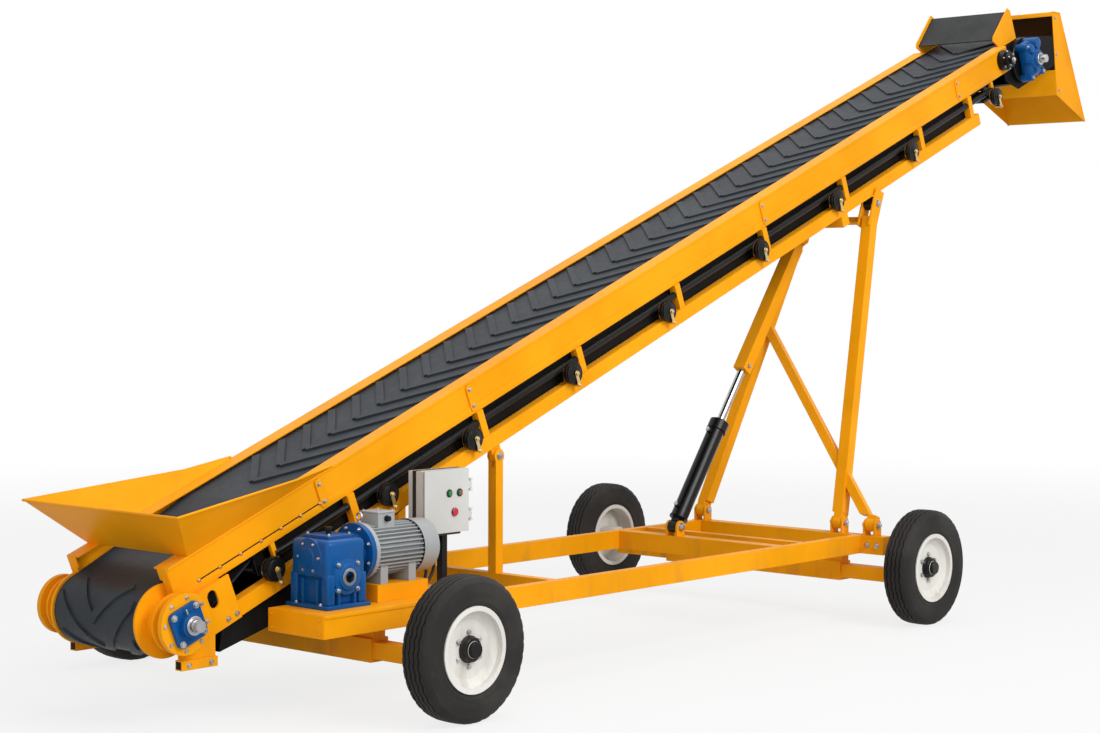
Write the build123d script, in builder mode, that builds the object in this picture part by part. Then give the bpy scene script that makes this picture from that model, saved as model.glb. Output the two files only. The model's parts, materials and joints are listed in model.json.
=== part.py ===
from build123d import *
from math import asin, atan2, cos, degrees, hypot, radians, sin
import os

os.makedirs("parts", exist_ok=True)

# Mobile stacking conveyor. +X runs up the boom from tail to head, -Y is the drive side, +Z is up.
# The origin lies on the floor under the middle of the overall length.

# Running gear
front_axle_x = -3543
wheelbase = 4325
half_track = 1360
tyre_radius = 375
tyre_width = 185
rim_seat_radius = 206
rim_flange_radius = 222
spindle_radius = 30
hub_radius = 62
running_clearance = 0.05

# Chassis
axle_box = 124
axle_drop = 70
axle_box_end_inset = 615
stub_box = 90
stub_end_inset = 138
upright_thickness = 60
chassis_bottom_z = 430
rail_height = 120
rail_width = 60
rail_wall = 6
near_rail_outer_y = -900
far_rail_outer_y = 500
platform_tail_x = front_axle_x - 530
platform_head_x = front_axle_x + 700
platform_width = 420
platform_wall = 8
post_x = front_axle_x + 1250
post_size = 60
ram_foot_x = front_axle_x + 3420
ram_foot_above_rail = 60
rear_beam_x = front_axle_x + wheelbase - 5
rear_beam_near_y = -1080
rear_beam_far_y = far_rail_outer_y + 20

# Boom side view: s runs along the boom from above the front axle, n is square to it, zero on top
boom_angle = 22
boom_zero_z = 1254
stringer_tail_s = -1220
stringer_head_s = 7520
stringer_depth = 190
stringer_outer_y = 410
stringer_flange = 100
stringer_wall = 6
lower_rail_top_n = -348
lower_rail_depth = 85
lower_rail_y = 400
lower_rail_width = 60
lower_rail_tail_s = -950
lower_rail_head_s = 6920

# Belt and drums
belt_half_width = 330
belt_side_gap = 6
belt_thickness = 12
belt_sunk = 20
drum_radius = 166
tail_drum_s = -1280
tail_drum_n = -262
head_drum_s = 7800
drum_shaft_radius = 35
head_plate_tail_s = 7280
return_roller_radius = 45
return_roller_n = -300
nose_bend_s = -450
nose_bend_radius = 150
cleat_height = 12
cleat_width = 45
cleat_pitch = 203
cleat_angle = 45
seat_gap = 0.2

# Support frame, ram and pivots
support_roller_s = 5340
support_roller_radius = 50
support_roller_gap = 8
support_foot_above_rail = 70
near_foot_y = -700
far_foot_y = 460
far_leg_top_y = 130
top_beam_thickness = 50
brace_foot_y = -960
leg_size = 80
brace_size = 60
lift_beam_s = 4950
lift_beam_size = 80
lift_eye_drop = 87
pivot_drop = 62
pivot_pin_radius = 15
pin_overhang = 8

# Sizes worked out from those above
axle_z = tyre_radius
axle_box_half_length = half_track - axle_box_end_inset
stub_end_y = half_track - stub_end_inset
platform_inner_y = near_rail_outer_y + platform_width
rail_top_z = chassis_bottom_z + rail_height
rear_axle_x = front_axle_x + wheelbase
boom_cos = cos(radians(boom_angle))
boom_sin = sin(radians(boom_angle))
lower_rail_bottom_n = lower_rail_top_n - lower_rail_depth
lower_rail_inner_y = lower_rail_y - lower_rail_width / 2
lower_rail_outer_y = lower_rail_y + lower_rail_width / 2
stringer_tip_y = stringer_outer_y - stringer_flange
stringer_inner_y = stringer_outer_y - stringer_wall
belt_under_n = -belt_sunk - belt_thickness
head_drum_n = belt_under_n - drum_radius
SIDES = {"near": -1, "far": 1}


def boom_point(s, n):
    """World X and Z of a point of the boom's side view."""
    x = front_axle_x + s * boom_cos - n * boom_sin
    z = boom_zero_z + s * boom_sin + n * boom_cos
    return x, z


def boom_side(y=0.0):
    """Side-view plane of the boom at a given Y, facing the drive side."""
    x, z = boom_point(0, 0)
    return Plane(origin=(x, y, z), x_dir=(boom_cos, 0, boom_sin), z_dir=(0, -1, 0))


def boom_section(s):
    """Cross-section plane of the boom at s, with Y across and n up, facing the head."""
    x, z = boom_point(s, 0)
    return Plane(origin=(x, 0, z), x_dir=(0, 1, 0), z_dir=(boom_cos, 0, boom_sin))


def side_view(y=0.0):
    """World side-view plane with X across and Z up, facing the drive side."""
    return Plane(origin=(0, y, 0), x_dir=(1, 0, 0), z_dir=(0, -1, 0))


def keep(builder, name):
    """Label one finished piece and write its file."""
    builder.part.label = name
    export_step(builder.part, f"parts/{name}.step")


def bar(start, end, width):
    """Add a straight bar between two points of the current sketch."""
    middle = ((start[0] + end[0]) / 2, (start[1] + end[1]) / 2)
    turn = degrees(atan2(end[1] - start[1], end[0] - start[0]))
    with Locations(middle):
        Rectangle(hypot(end[0] - start[0], end[1] - start[1]), width, rotation=turn)


def block(low, high):
    """Add a rectangle given by two opposite corners to the current sketch."""
    with Locations(((low[0] + high[0]) / 2, (low[1] + high[1]) / 2)):
        Rectangle(abs(high[0] - low[0]), abs(high[1] - low[1]))


# Stringers: channels with the web outside, flanges turned in towards the belt and a notch for the tail drum
for side, hand in SIDES.items():
    with BuildPart() as stringer:
        with BuildSketch(boom_section(stringer_tail_s)) as channel:
            block((hand * stringer_tip_y, 0), (hand * stringer_outer_y, -stringer_depth))
            with Locations((hand * (stringer_tip_y + stringer_inner_y) / 2, -stringer_depth / 2)):
                Rectangle(stringer_flange - stringer_wall, stringer_depth - 2 * stringer_wall,
                          mode=Mode.SUBTRACT)
        extrude(amount=stringer_head_s - stringer_tail_s)
        with BuildSketch(boom_side()):
            with Locations((tail_drum_s, tail_drum_n)):
                Circle(drum_radius + belt_side_gap)
        extrude(amount=belt_half_width + belt_side_gap, both=True, mode=Mode.SUBTRACT)
    keep(stringer, f"stringer_{side}")

# Lower rails: rectangular tubes under the stringers
with BuildPart() as lower_rails:
    with BuildSketch(boom_section(lower_rail_tail_s)):
        with Locations(*[(hand * lower_rail_y, lower_rail_top_n - lower_rail_depth / 2)
                         for hand in SIDES.values()]):
            Rectangle(lower_rail_width, lower_rail_depth)
            Rectangle(lower_rail_width - 2 * rail_wall, lower_rail_depth - 2 * rail_wall,
                      mode=Mode.SUBTRACT)
    extrude(amount=lower_rail_head_s - lower_rail_tail_s)
keep(lower_rails, "lower_rails")

# Short posts between stringers and lower rails
post_stations = [20, 1100, 2020, 3040, 4040, 5040, 6100, 6840]
boom_post_length = 50
boom_post_width = 50
with BuildPart() as boom_posts:
    for hand in SIDES.values():
        with BuildSketch(boom_side(hand * lower_rail_y)):
            for station in post_stations:
                block((station - boom_post_length / 2, -stringer_depth),
                      (station + boom_post_length / 2, lower_rail_top_n))
        extrude(amount=boom_post_width / 2, both=True)
keep(boom_posts, "boom_posts")

# Joint plates on the outer webs of the stringers
joint_plate_stations = [-160, 1070, 4080, 6715]
joint_plate_length = 46
joint_plate_margin = 16
joint_plate_thickness = 10
with BuildPart() as joint_plates:
    for hand in SIDES.values():
        with BuildSketch(boom_side(hand * (stringer_outer_y + joint_plate_thickness / 2))):
            with Locations(*[(station, -stringer_depth / 2) for station in joint_plate_stations]):
                RectangleRounded(joint_plate_length, stringer_depth - 2 * joint_plate_margin,
                                 joint_plate_margin)
        extrude(amount=joint_plate_thickness / 2, both=True)
keep(joint_plates, "stringer_joint_plates")

# Cross ties between the lower rails, on the guard pan
tie_stations = [2350, 4350, 6400]
tie_size = 50
pan_top_n = lower_rail_bottom_n + 11
pan_thickness = 3
with BuildPart() as cross_ties:
    with BuildSketch(boom_side()):
        for station in tie_stations:
            block((station - tie_size / 2, pan_top_n), (station + tie_size / 2, pan_top_n + tie_size))
    extrude(amount=lower_rail_inner_y, both=True)
keep(cross_ties, "boom_cross_ties")

# Guard pan under the return strand, hanging in a shallow trough with side skirts behind the tail drum
pan_tail = (-1050, -562)
pan_low = (-700, -600)
pan_rise_s = 700
skirt_top_n = lower_rail_top_n - lower_rail_depth / 2
with BuildPart() as guard_pan:
    with BuildSketch(boom_side()):
        with BuildLine():
            Polyline(pan_tail, pan_low, (pan_rise_s, pan_top_n), (lower_rail_head_s, pan_top_n),
                     (lower_rail_head_s, pan_top_n - pan_thickness), (pan_rise_s, pan_top_n - pan_thickness),
                     (pan_low[0], pan_low[1] - pan_thickness), (pan_tail[0], pan_tail[1] - pan_thickness),
                     close=True)
        make_face()
    extrude(amount=lower_rail_inner_y, both=True)
    for hand in SIDES.values():
        with BuildSketch(boom_side(hand * (lower_rail_inner_y - pan_thickness / 2))):
            with BuildLine():
                Polyline(pan_tail, pan_low, (pan_rise_s, pan_top_n), (pan_rise_s, skirt_top_n),
                         (lower_rail_tail_s, skirt_top_n), close=True)
            make_face()
        extrude(amount=pan_thickness / 2, both=True)
keep(guard_pan, "guard_pan")

# Slider deck that carries the loaded strand between the stringer webs
deck_thickness = 5
deck_head_s = head_plate_tail_s - 10
with BuildPart() as deck:
    with BuildSketch(boom_side()):
        block((nose_bend_s, belt_under_n - seat_gap),
              (deck_head_s, belt_under_n - seat_gap - deck_thickness))
    extrude(amount=stringer_inner_y, both=True)
keep(deck, "slider_deck")

# Return rollers: tube, necks over the lower rails, round end pods outside them and a through shaft
roller_stations = [-630, 250, 965, 1890, 2860, 3925, 4870, 5900, 7175]
roller_neck_radius = 22
pod_radius = 64
pod_inner_y = lower_rail_outer_y + 3
pod_outer_y = pod_inner_y + 37
roller_shaft_radius = 12
roller_shaft_overhang = 9
hanger_inner_y = 350
hanger_thickness = 8
hanger_length = 70
hanger_below_shaft = 36
roller_spots = [(station, return_roller_n) for station in roller_stations]
with BuildPart() as return_rollers:
    for radius, reach in ((return_roller_radius - seat_gap, belt_half_width + belt_side_gap),
                          (roller_neck_radius, pod_outer_y),
                          (roller_shaft_radius, pod_outer_y + roller_shaft_overhang)):
        with BuildSketch(boom_side()):
            with Locations(*roller_spots):
                Circle(radius)
        extrude(amount=reach, both=True)
    for hand in SIDES.values():
        with BuildSketch(boom_side(hand * (pod_inner_y + pod_outer_y) / 2)):
            with Locations(*roller_spots):
                Circle(pod_radius)
        extrude(amount=(pod_outer_y - pod_inner_y) / 2, both=True)
keep(return_rollers, "return_rollers")

with BuildPart() as hangers:
    for hand in SIDES.values():
        with BuildSketch(boom_side(hand * (hanger_inner_y + hanger_thickness / 2))):
            for station in roller_stations:
                block((station - hanger_length / 2, -stringer_depth),
                      (station + hanger_length / 2, return_roller_n - hanger_below_shaft))
            with Locations(*roller_spots):
                Circle(roller_neck_radius + running_clearance, mode=Mode.SUBTRACT)
        extrude(amount=hanger_thickness / 2, both=True)
keep(hangers, "roller_hangers")

# Belt path: wheels the belt runs round, in order, with left turns round what lies inside the loop
# Columns: s, n, radius of the belt's inner face, signed plus for inside and minus for outside
first_roller_s = roller_stations[0]
last_roller_s = roller_stations[-1]
outside_radius = return_roller_radius + cleat_height + belt_thickness
PATH = [
    (tail_drum_s, tail_drum_n, drum_radius),
    (first_roller_s, return_roller_n, -outside_radius),
    (last_roller_s, return_roller_n, -outside_radius),
    (head_drum_s, head_drum_n, drum_radius),
    (nose_bend_s, belt_under_n - nose_bend_radius, nose_bend_radius),
]


def run_angle(here, after):
    """Direction of the straight run of belt that leaves one wheel for the next."""
    apart = hypot(after[0] - here[0], after[1] - here[1])
    bearing = atan2(after[1] - here[1], after[0] - here[0])
    return bearing - asin((after[2] - here[2]) / apart)


def touch(wheel, angle, outward):
    """Point where a run of the given direction touches a wheel, moved outward from the inner face."""
    radius = wheel[2] + outward
    return wheel[0] + radius * sin(angle), wheel[1] - radius * cos(angle)


RUNS = [run_angle(PATH[i], PATH[(i + 1) % len(PATH)]) for i in range(len(PATH))]


def belt_outline(outward):
    """Closed line of the belt at a distance outward from its inner face, as runs and arcs."""
    for i, wheel in enumerate(PATH):
        arriving = RUNS[i - 1]
        leaving = RUNS[i]
        if wheel[2] > 0 and leaving < arriving:
            leaving += radians(360)
        end = touch(wheel, leaving, outward)
        ThreePointArc(touch(wheel, arriving, outward),
                      touch(wheel, (arriving + leaving) / 2, outward), end)
        Line(end, touch(PATH[(i + 1) % len(PATH)], RUNS[i], outward))


# Straight runs with cleats. Columns: start s, n of the carrying face, length, travel along s
CLEAT_RUNS = [
    (nose_bend_s, -belt_sunk, head_drum_s - nose_bend_s, 1),
    (last_roller_s, return_roller_n + return_roller_radius + cleat_height,
     last_roller_s - first_roller_s, -1),
]
cleat_half_width = stringer_tip_y - 10
cleat_reach = cleat_half_width / cos(radians(cleat_angle)) - cleat_width / 2
carrying_radius = drum_radius + belt_thickness
cleat_turn = degrees(cleat_pitch / carrying_radius)
wrap_pieces = 3
wrap_piece = cleat_half_width / wrap_pieces
wrap_depth = 40
wrap_length = wrap_piece / cos(radians(cleat_angle)) + cleat_width / 2

# Cleats wrapped round the drums in short pieces, kept between two cylinders
# Columns: drum centre s and n, first and last angle of the arc that the belt covers, seen from the side
WRAPS = [(tail_drum_s, tail_drum_n, 95, 272), (head_drum_s, head_drum_n, -85, 85)]
with BuildPart() as wrapped_cleats:
    for drum_s, drum_n, first_angle, last_angle in WRAPS:
        for step in range(int((last_angle - first_angle) / cleat_turn) + 3):
            for piece in range(wrap_pieces):
                out_y = (piece + 0.5) * wrap_piece
                angle = first_angle + step * cleat_turn - degrees(out_y / carrying_radius)
                if first_angle < angle < last_angle:
                    tilt = radians(angle + boom_angle)
                    drum_x, drum_z = boom_point(drum_s, drum_n)
                    deep = carrying_radius + cleat_height - wrap_depth
                    bar_plane = Plane(origin=(drum_x + deep * cos(tilt), 0, drum_z + deep * sin(tilt)),
                                      x_dir=(sin(tilt), 0, -cos(tilt)), z_dir=(cos(tilt), 0, sin(tilt)))
                    with BuildSketch(bar_plane):
                        for hand in SIDES.values():
                            with Locations((0, hand * out_y)):
                                Rectangle(wrap_length, cleat_width, rotation=hand * cleat_angle)
                    extrude(amount=wrap_depth)
    with BuildSketch(boom_side()):
        for drum_s, drum_n, first_angle, last_angle in WRAPS:
            with Locations((drum_s, drum_n)):
                Circle(carrying_radius + cleat_height)
                Circle(carrying_radius - seat_gap, mode=Mode.SUBTRACT)
    extrude(amount=cleat_half_width, both=True, mode=Mode.INTERSECT)

with BuildPart() as belt:
    with BuildSketch(boom_side()):
        with BuildLine():
            belt_outline(belt_thickness)
        make_face()
        with BuildLine():
            belt_outline(0)
        make_face(mode=Mode.SUBTRACT)
    extrude(amount=belt_half_width, both=True)
    for run_s, run_n, run_length, way in CLEAT_RUNS:
        run_x, run_z = boom_point(run_s, run_n)
        run_plane = Plane(origin=(run_x, 0, run_z), x_dir=(way * boom_cos, 0, way * boom_sin),
                          z_dir=(-way * boom_sin, 0, way * boom_cos))
        with BuildSketch(run_plane):
            for step in range(1, int((run_length - cleat_half_width) // cleat_pitch) + 1):
                for turn in (cleat_angle, -cleat_angle):
                    with Locations((step * cleat_pitch, 0)):
                        Rectangle(cleat_reach, cleat_width, rotation=turn,
                                  align=(Align.MIN, Align.CENTER))
        extrude(amount=cleat_height)
    add(wrapped_cleats.part)
keep(belt, "belt")

# Drums with through shafts
shaft_end_radius = 30
shaft_end_length = 50
tail_shaft_y = 578
head_shaft_near_y = -530
head_shaft_far_y = 415
drum_wall = 10
drum_end_recess = 30
DRUMS = [("tail_drum", tail_drum_s, tail_drum_n, -tail_shaft_y, tail_shaft_y),
         ("head_drum", head_drum_s, head_drum_n, head_shaft_near_y, head_shaft_far_y)]
for name, s, n, shaft_near, shaft_far in DRUMS:
    with BuildPart() as drum:
        with BuildSketch(boom_side()):
            with Locations((s, n)):
                Circle(drum_radius - seat_gap)
        extrude(amount=belt_half_width, both=True)
        for hand in SIDES.values():
            with BuildSketch(boom_side(hand * belt_half_width)):
                with Locations((s, n)):
                    Circle(drum_radius - drum_wall)
            extrude(amount=drum_end_recess * hand, mode=Mode.SUBTRACT)
        for reach, radius in ((0, drum_shaft_radius), (shaft_end_length, shaft_end_radius)):
            with BuildSketch(boom_side(shaft_far + reach)):
                with Locations((s, n)):
                    Circle(radius)
            extrude(amount=shaft_far - shaft_near + 2 * reach)
    keep(drum, name)

# Tail brackets: ring beside the belt, sleeve out to a bolted disc, arm plate on the lower rail, foot tube
shaft_hole_radius = drum_shaft_radius + 6
tail_ring_radius = 188
tail_ring_inner_y = belt_half_width + belt_side_gap
tail_ring_outer_y = tail_ring_inner_y + 14
tail_sleeve_radius = 110
tail_disc_radius = 155
tail_disc_inner_y = 485
tail_disc_outer_y = 515
tail_plate_thickness = 12
tail_lobe_radius = 150
tail_plate_head_s = lower_rail_tail_s + 50
tail_foot_tail_x = front_axle_x - 1076
tail_foot_head_x = front_axle_x - 848
tail_foot_z = 290
tail_foot_tube = 50
tail_plate_arm_s = tail_drum_s + 70
tail_strip_inner_y = stringer_tip_y + stringer_flange / 2
stringer_end_gap = 1
window_s = -1035
window_n = -262
window_width = 62
window_height = 96
tail_drum_x, tail_drum_z = boom_point(tail_drum_s, tail_drum_n)
# Columns: radius, inner Y, outer Y
TAIL_ROUNDS = [(tail_ring_radius, tail_ring_inner_y, tail_ring_outer_y),
               (tail_sleeve_radius, tail_ring_outer_y, tail_disc_inner_y),
               (tail_disc_radius, tail_disc_inner_y, tail_disc_outer_y)]
with BuildPart() as tail_brackets:
    for hand in SIDES.values():
        plate_y = hand * (lower_rail_outer_y + tail_plate_thickness / 2)
        with BuildSketch(boom_side(plate_y)):
            with Locations((tail_drum_s, tail_drum_n)):
                Circle(tail_lobe_radius)
            block((tail_drum_s, -stringer_depth), (tail_plate_head_s, tail_drum_n))
            block((tail_plate_arm_s, tail_drum_n), (tail_plate_head_s, lower_rail_bottom_n))
            with Locations((window_s, window_n)):
                SlotOverall(window_height, window_width, rotation=90, mode=Mode.SUBTRACT)
        extrude(amount=tail_plate_thickness / 2, both=True)
        with BuildSketch(boom_side(hand * (tail_strip_inner_y + lower_rail_outer_y) / 2)):
            block((stringer_tail_s, -stringer_depth),
                  (lower_rail_tail_s, -stringer_depth - tail_plate_thickness))
        extrude(amount=(lower_rail_outer_y - tail_strip_inner_y) / 2, both=True)
        with BuildSketch(side_view(plate_y)):
            block((tail_foot_tail_x, tail_foot_z + tail_foot_tube),
                  (tail_foot_head_x, tail_drum_z - tail_lobe_radius / 2))
        extrude(amount=tail_plate_thickness / 2, both=True)
        with BuildSketch(side_view(plate_y)):
            block((tail_foot_tail_x, tail_foot_z), (tail_foot_head_x, tail_foot_z + tail_foot_tube))
        extrude(amount=tail_foot_tube / 2, both=True)
        for radius, inner_y, outer_y in TAIL_ROUNDS:
            with BuildSketch(boom_side(hand * (inner_y + outer_y) / 2)):
                with Locations((tail_drum_s, tail_drum_n)):
                    Circle(radius)
                if inner_y < stringer_outer_y:
                    with Locations((stringer_tail_s - stringer_end_gap, -stringer_depth)):
                        Rectangle(2 * radius, 2 * radius, align=(Align.MIN, Align.MIN), mode=Mode.SUBTRACT)
            extrude(amount=(outer_y - inner_y) / 2, both=True)
    with BuildSketch(boom_side()):
        with Locations((tail_drum_s, tail_drum_n)):
            Circle(shaft_hole_radius)
    extrude(amount=tail_shaft_y, both=True, mode=Mode.SUBTRACT)
keep(tail_brackets, "tail_brackets")

# Square flange bearings on both ends of the tail drum and the far end of the head drum
bearing_square = 190
bearing_corner = 30
bearing_flange = 22
bearing_boss_radius = 62
bearing_boss = 34
head_plate_inner_y = belt_half_width + belt_side_gap + 2
head_plate_thickness = 10
head_plate_outer_y = head_plate_inner_y + head_plate_thickness
tail_bearing_y = tail_disc_outer_y
BEARINGS = [(tail_drum_s, tail_drum_n, -1, tail_bearing_y), (tail_drum_s, tail_drum_n, 1, tail_bearing_y),
            (head_drum_s, head_drum_n, 1, head_plate_outer_y)]
with BuildPart() as bearings:
    for s, n, hand, seat_y in BEARINGS:
        with BuildSketch(boom_side(hand * (seat_y + bearing_flange / 2))):
            with Locations((s, n)):
                RectangleRounded(bearing_square, bearing_square, bearing_corner)
                Circle(drum_shaft_radius + running_clearance, mode=Mode.SUBTRACT)
        extrude(amount=bearing_flange / 2, both=True)
        with BuildSketch(boom_side(hand * (seat_y + bearing_flange + bearing_boss / 2))):
            with Locations((s, n)):
                Circle(bearing_boss_radius)
                Circle(drum_shaft_radius + running_clearance, mode=Mode.SUBTRACT)
        extrude(amount=bearing_boss / 2, both=True)
keep(bearings, "drum_bearings")

# Hopper: flared box on the stringers with flat walls, sloping rim and open head side
hopper_tail_s = -1080
hopper_head_s = -40
hopper_half_width = 409
hopper_wall = 8
hopper_flare_n = 300
hopper_side_flare = 0.77
hopper_front_flare = 0.46
hopper_rim_tail_n = 262
hopper_rim_back_s = -330
hopper_rim_back_n = 60


def hopper_level(n):
    """Plane parallel to the stringers' top at height n, with s and Y in it."""
    x, z = boom_point(0, n)
    return Plane(origin=(x, 0, z), x_dir=(boom_cos, 0, boom_sin), z_dir=(-boom_sin, 0, boom_cos))


with BuildPart() as hopper:
    for inset, low_n, high_n, mode in ((0, 0, hopper_flare_n, Mode.ADD),
                                       (hopper_wall, -1, hopper_flare_n + 1, Mode.SUBTRACT)):
        for level_n in (low_n, high_n):
            half = hopper_half_width + level_n * hopper_side_flare - inset
            with BuildSketch(hopper_level(level_n)):
                block((hopper_tail_s - level_n * hopper_front_flare + inset, -half), (hopper_head_s, half))
        loft(ruled=True, mode=mode)
    rim_slope = (hopper_rim_tail_n - hopper_rim_back_n) / (hopper_rim_back_s - hopper_tail_s)
    rim_reach = 2 * hopper_flare_n
    with BuildSketch(boom_side()):
        with BuildLine():
            Polyline((hopper_tail_s - rim_reach, hopper_rim_tail_n + rim_reach * rim_slope),
                     (hopper_rim_back_s, hopper_rim_back_n), (hopper_head_s, stringer_wall),
                     (hopper_head_s + rim_reach, stringer_wall),
                     (hopper_head_s + rim_reach, hopper_rim_tail_n + rim_reach),
                     (hopper_tail_s - rim_reach, hopper_rim_tail_n + rim_reach), close=True)
        make_face()
    extrude(amount=2 * hopper_half_width, both=True, mode=Mode.SUBTRACT)
    with BuildSketch(boom_side()):
        block((hopper_head_s - hopper_wall * 2, -1), (hopper_head_s + rim_reach, hopper_flare_n + 2))
    extrude(amount=2 * hopper_half_width, both=True, mode=Mode.SUBTRACT)
keep(hopper, "hopper")

# Head side plates with a spacer block to each stringer web
head_plate_low_n = -400
head_plate_bottom_n = 10 - stringer_depth
nose_start = 50
nose_top = (head_drum_s + 600, -180)
nose_low = (head_drum_s + 620, head_plate_low_n)
chin_back = 100
throat = (stringer_head_s + 10, -280)
spacer_inset = 20
with BuildPart() as head_plates:
    for hand in SIDES.values():
        with BuildSketch(boom_side(hand * (head_plate_inner_y + head_plate_thickness / 2))):
            with BuildLine():
                Polyline((head_plate_tail_s, -belt_sunk), (head_drum_s + nose_start, -belt_sunk), nose_top,
                         nose_low, (head_drum_s - chin_back, head_plate_low_n), throat,
                         (throat[0], head_plate_bottom_n), (head_plate_tail_s, head_plate_bottom_n),
                         close=True)
            make_face()
            with Locations((head_drum_s, head_drum_n)):
                Circle(shaft_hole_radius, mode=Mode.SUBTRACT)
        extrude(amount=head_plate_thickness / 2, both=True)
        spacer_width = stringer_inner_y - head_plate_outer_y
        with BuildSketch(boom_side(hand * (head_plate_outer_y + spacer_width / 2))):
            block((head_plate_tail_s + spacer_inset, 2 * spacer_inset - stringer_depth),
                  (stringer_head_s - spacer_inset, belt_under_n - spacer_inset / 2))
        extrude(amount=spacer_width / 2, both=True)
keep(head_plates, "head_side_plates")

# Head drive: gearbox on the drum shaft and a round hub on the stringer's end
head_box_tail_s = head_drum_s - 140
head_box_head_s = head_drum_s + 140
head_box_top_n = head_drum_n + 190
head_box_bottom_n = head_drum_n - 165
head_box_outer_y = 500
head_box_corner = 70
head_boss = 24
head_flange = 40
head_flange_radius = 176
# Columns: place along and square to the boom from the drum's centre, radius
HEAD_BOSSES = [(0, 0, 85), (45, 128, 46), (-70, 110, 34)]
with BuildPart() as head_gearbox:
    with BuildSketch(boom_side(-(head_plate_outer_y + head_box_outer_y) / 2)):
        with Locations((head_drum_s, (head_box_top_n + head_box_bottom_n) / 2)):
            RectangleRounded(head_box_head_s - head_box_tail_s, head_box_top_n - head_box_bottom_n,
                             head_box_corner)
        with Locations((head_drum_s, head_drum_n)):
            Circle(drum_shaft_radius + running_clearance, mode=Mode.SUBTRACT)
    extrude(amount=(head_box_outer_y - head_plate_outer_y) / 2, both=True)
    for boss_s, boss_n, radius in HEAD_BOSSES:
        with BuildSketch(boom_side(-head_box_outer_y)):
            with Locations((head_drum_s + boss_s, head_drum_n + boss_n)):
                Circle(radius)
            with Locations((head_drum_s, head_drum_n)):
                Circle(drum_shaft_radius + running_clearance, mode=Mode.SUBTRACT)
        extrude(amount=head_boss)
    with BuildSketch(boom_side(-head_plate_outer_y - head_flange / 2)):
        with Locations((head_drum_s, head_drum_n)):
            Circle(head_flange_radius)
            Circle(drum_shaft_radius + running_clearance, mode=Mode.SUBTRACT)
    extrude(amount=head_flange / 2, both=True)
keep(head_gearbox, "head_gearbox")

head_hub_s = stringer_head_s - 92
head_hub_n = -88
HUB_STEPS = [(78, 52), (58, 30), (32, 16)]
with BuildPart() as head_hub:
    hub_y = stringer_outer_y
    for radius, length in HUB_STEPS:
        with BuildSketch(boom_side(-hub_y)):
            with Locations((head_hub_s, head_hub_n)):
                Circle(radius)
        extrude(amount=length)
        hub_y += length
keep(head_hub, "head_hub")

# Sloping cover over the head drum between two cheeks that stand on the head side plates
cover_low = (stringer_head_s - 30, 60)
cover_high = (stringer_head_s + 237, 205)
cover_thickness = 8
cheek_margin = 30
with BuildPart() as head_cover:
    with BuildSketch(boom_side()):
        bar(cover_low, cover_high, cover_thickness)
    extrude(amount=head_plate_inner_y, both=True)
keep(head_cover, "head_cover")

with BuildPart() as cheeks:
    for hand in SIDES.values():
        with BuildSketch(boom_side(hand * (head_plate_inner_y + head_plate_thickness / 2))):
            with BuildLine():
                Polyline((stringer_head_s + 20, -belt_sunk), (cover_low[0] - cheek_margin, cover_low[1]),
                         (cover_low[0] - cheek_margin / 2, cover_low[1] + cheek_margin),
                         (cover_high[0], cover_high[1] + cheek_margin),
                         (cover_high[0] + cheek_margin, cover_high[1]),
                         (head_drum_s, -belt_sunk), close=True)
            make_face()
        extrude(amount=head_plate_thickness / 2, both=True)
keep(cheeks, "cover_cheeks")

# Hood ahead of the head drum, open below and towards the drum. Corners in X and Z past the front axle
HOOD = {"top_tail": (7804, 4419), "top_head": (7918, 4420),
        "low_head": (8365, 3578), "low_tail": (7895, 3760)}
hood_wall = 5
hood_half_width = head_plate_outer_y + hood_wall
hood_back_height = 200
corner = {name: (front_axle_x + x, z) for name, (x, z) in HOOD.items()}
with BuildPart() as hood:
    with BuildSketch(side_view()):
        with BuildLine():
            Polyline(corner["top_tail"], corner["top_head"], corner["low_head"], corner["low_tail"],
                     close=True)
        make_face()
    extrude(amount=hood_half_width, both=True)
    hood_reach = 400
    low_x, low_z = corner["low_head"]
    top_x, top_z = corner["top_head"]
    lean = (low_x - top_x) / (top_z - low_z)
    with BuildSketch(side_view()):
        with BuildLine():
            Polyline((corner["top_tail"][0] - hood_reach, top_z - hood_wall),
                     (top_x - hood_wall, top_z - hood_wall),
                     (low_x - hood_wall + hood_reach * lean, low_z - hood_reach),
                     (corner["top_tail"][0] - hood_reach, low_z - hood_reach), close=True)
        make_face()
    extrude(amount=head_plate_outer_y, both=True, mode=Mode.SUBTRACT)
    back_x, back_z = corner["low_tail"]
    under_slope = (back_z - low_z) / (low_x - back_x)
    back_lean = (corner["top_tail"][0] - back_x) / (corner["top_tail"][1] - back_z)
    with BuildSketch(side_view()):
        with BuildLine():
            Polyline((back_x, back_z), (back_x + hood_back_height * back_lean, back_z + hood_back_height),
                     (back_x + hood_back_height * back_lean + hood_wall, back_z + hood_back_height),
                     (back_x + hood_wall, back_z - hood_wall * under_slope), close=True)
        make_face()
    extrude(amount=head_plate_outer_y, both=True)
keep(hood, "hood")

# Boom pivot lugs under the lower rails
pivot_n = lower_rail_bottom_n - pivot_drop
pivot_s = (post_x - front_axle_x + pivot_n * boom_sin) / boom_cos
pivot_z = boom_point(pivot_s, pivot_n)[1]
pivot_lug_radius = 38
pivot_lug_thickness = 30
with BuildPart() as pivot_lugs:
    for hand in SIDES.values():
        with BuildSketch(boom_side(hand * lower_rail_y)):
            with Locations((pivot_s, pivot_n)):
                Circle(pivot_lug_radius)
            block((pivot_s - pivot_lug_radius, pivot_n), (pivot_s + pivot_lug_radius, lower_rail_bottom_n))
            with Locations((pivot_s, pivot_n)):
                Circle(pivot_pin_radius + running_clearance, mode=Mode.SUBTRACT)
        extrude(amount=pivot_lug_thickness / 2, both=True)
keep(pivot_lugs, "boom_pivot_lugs")

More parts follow.
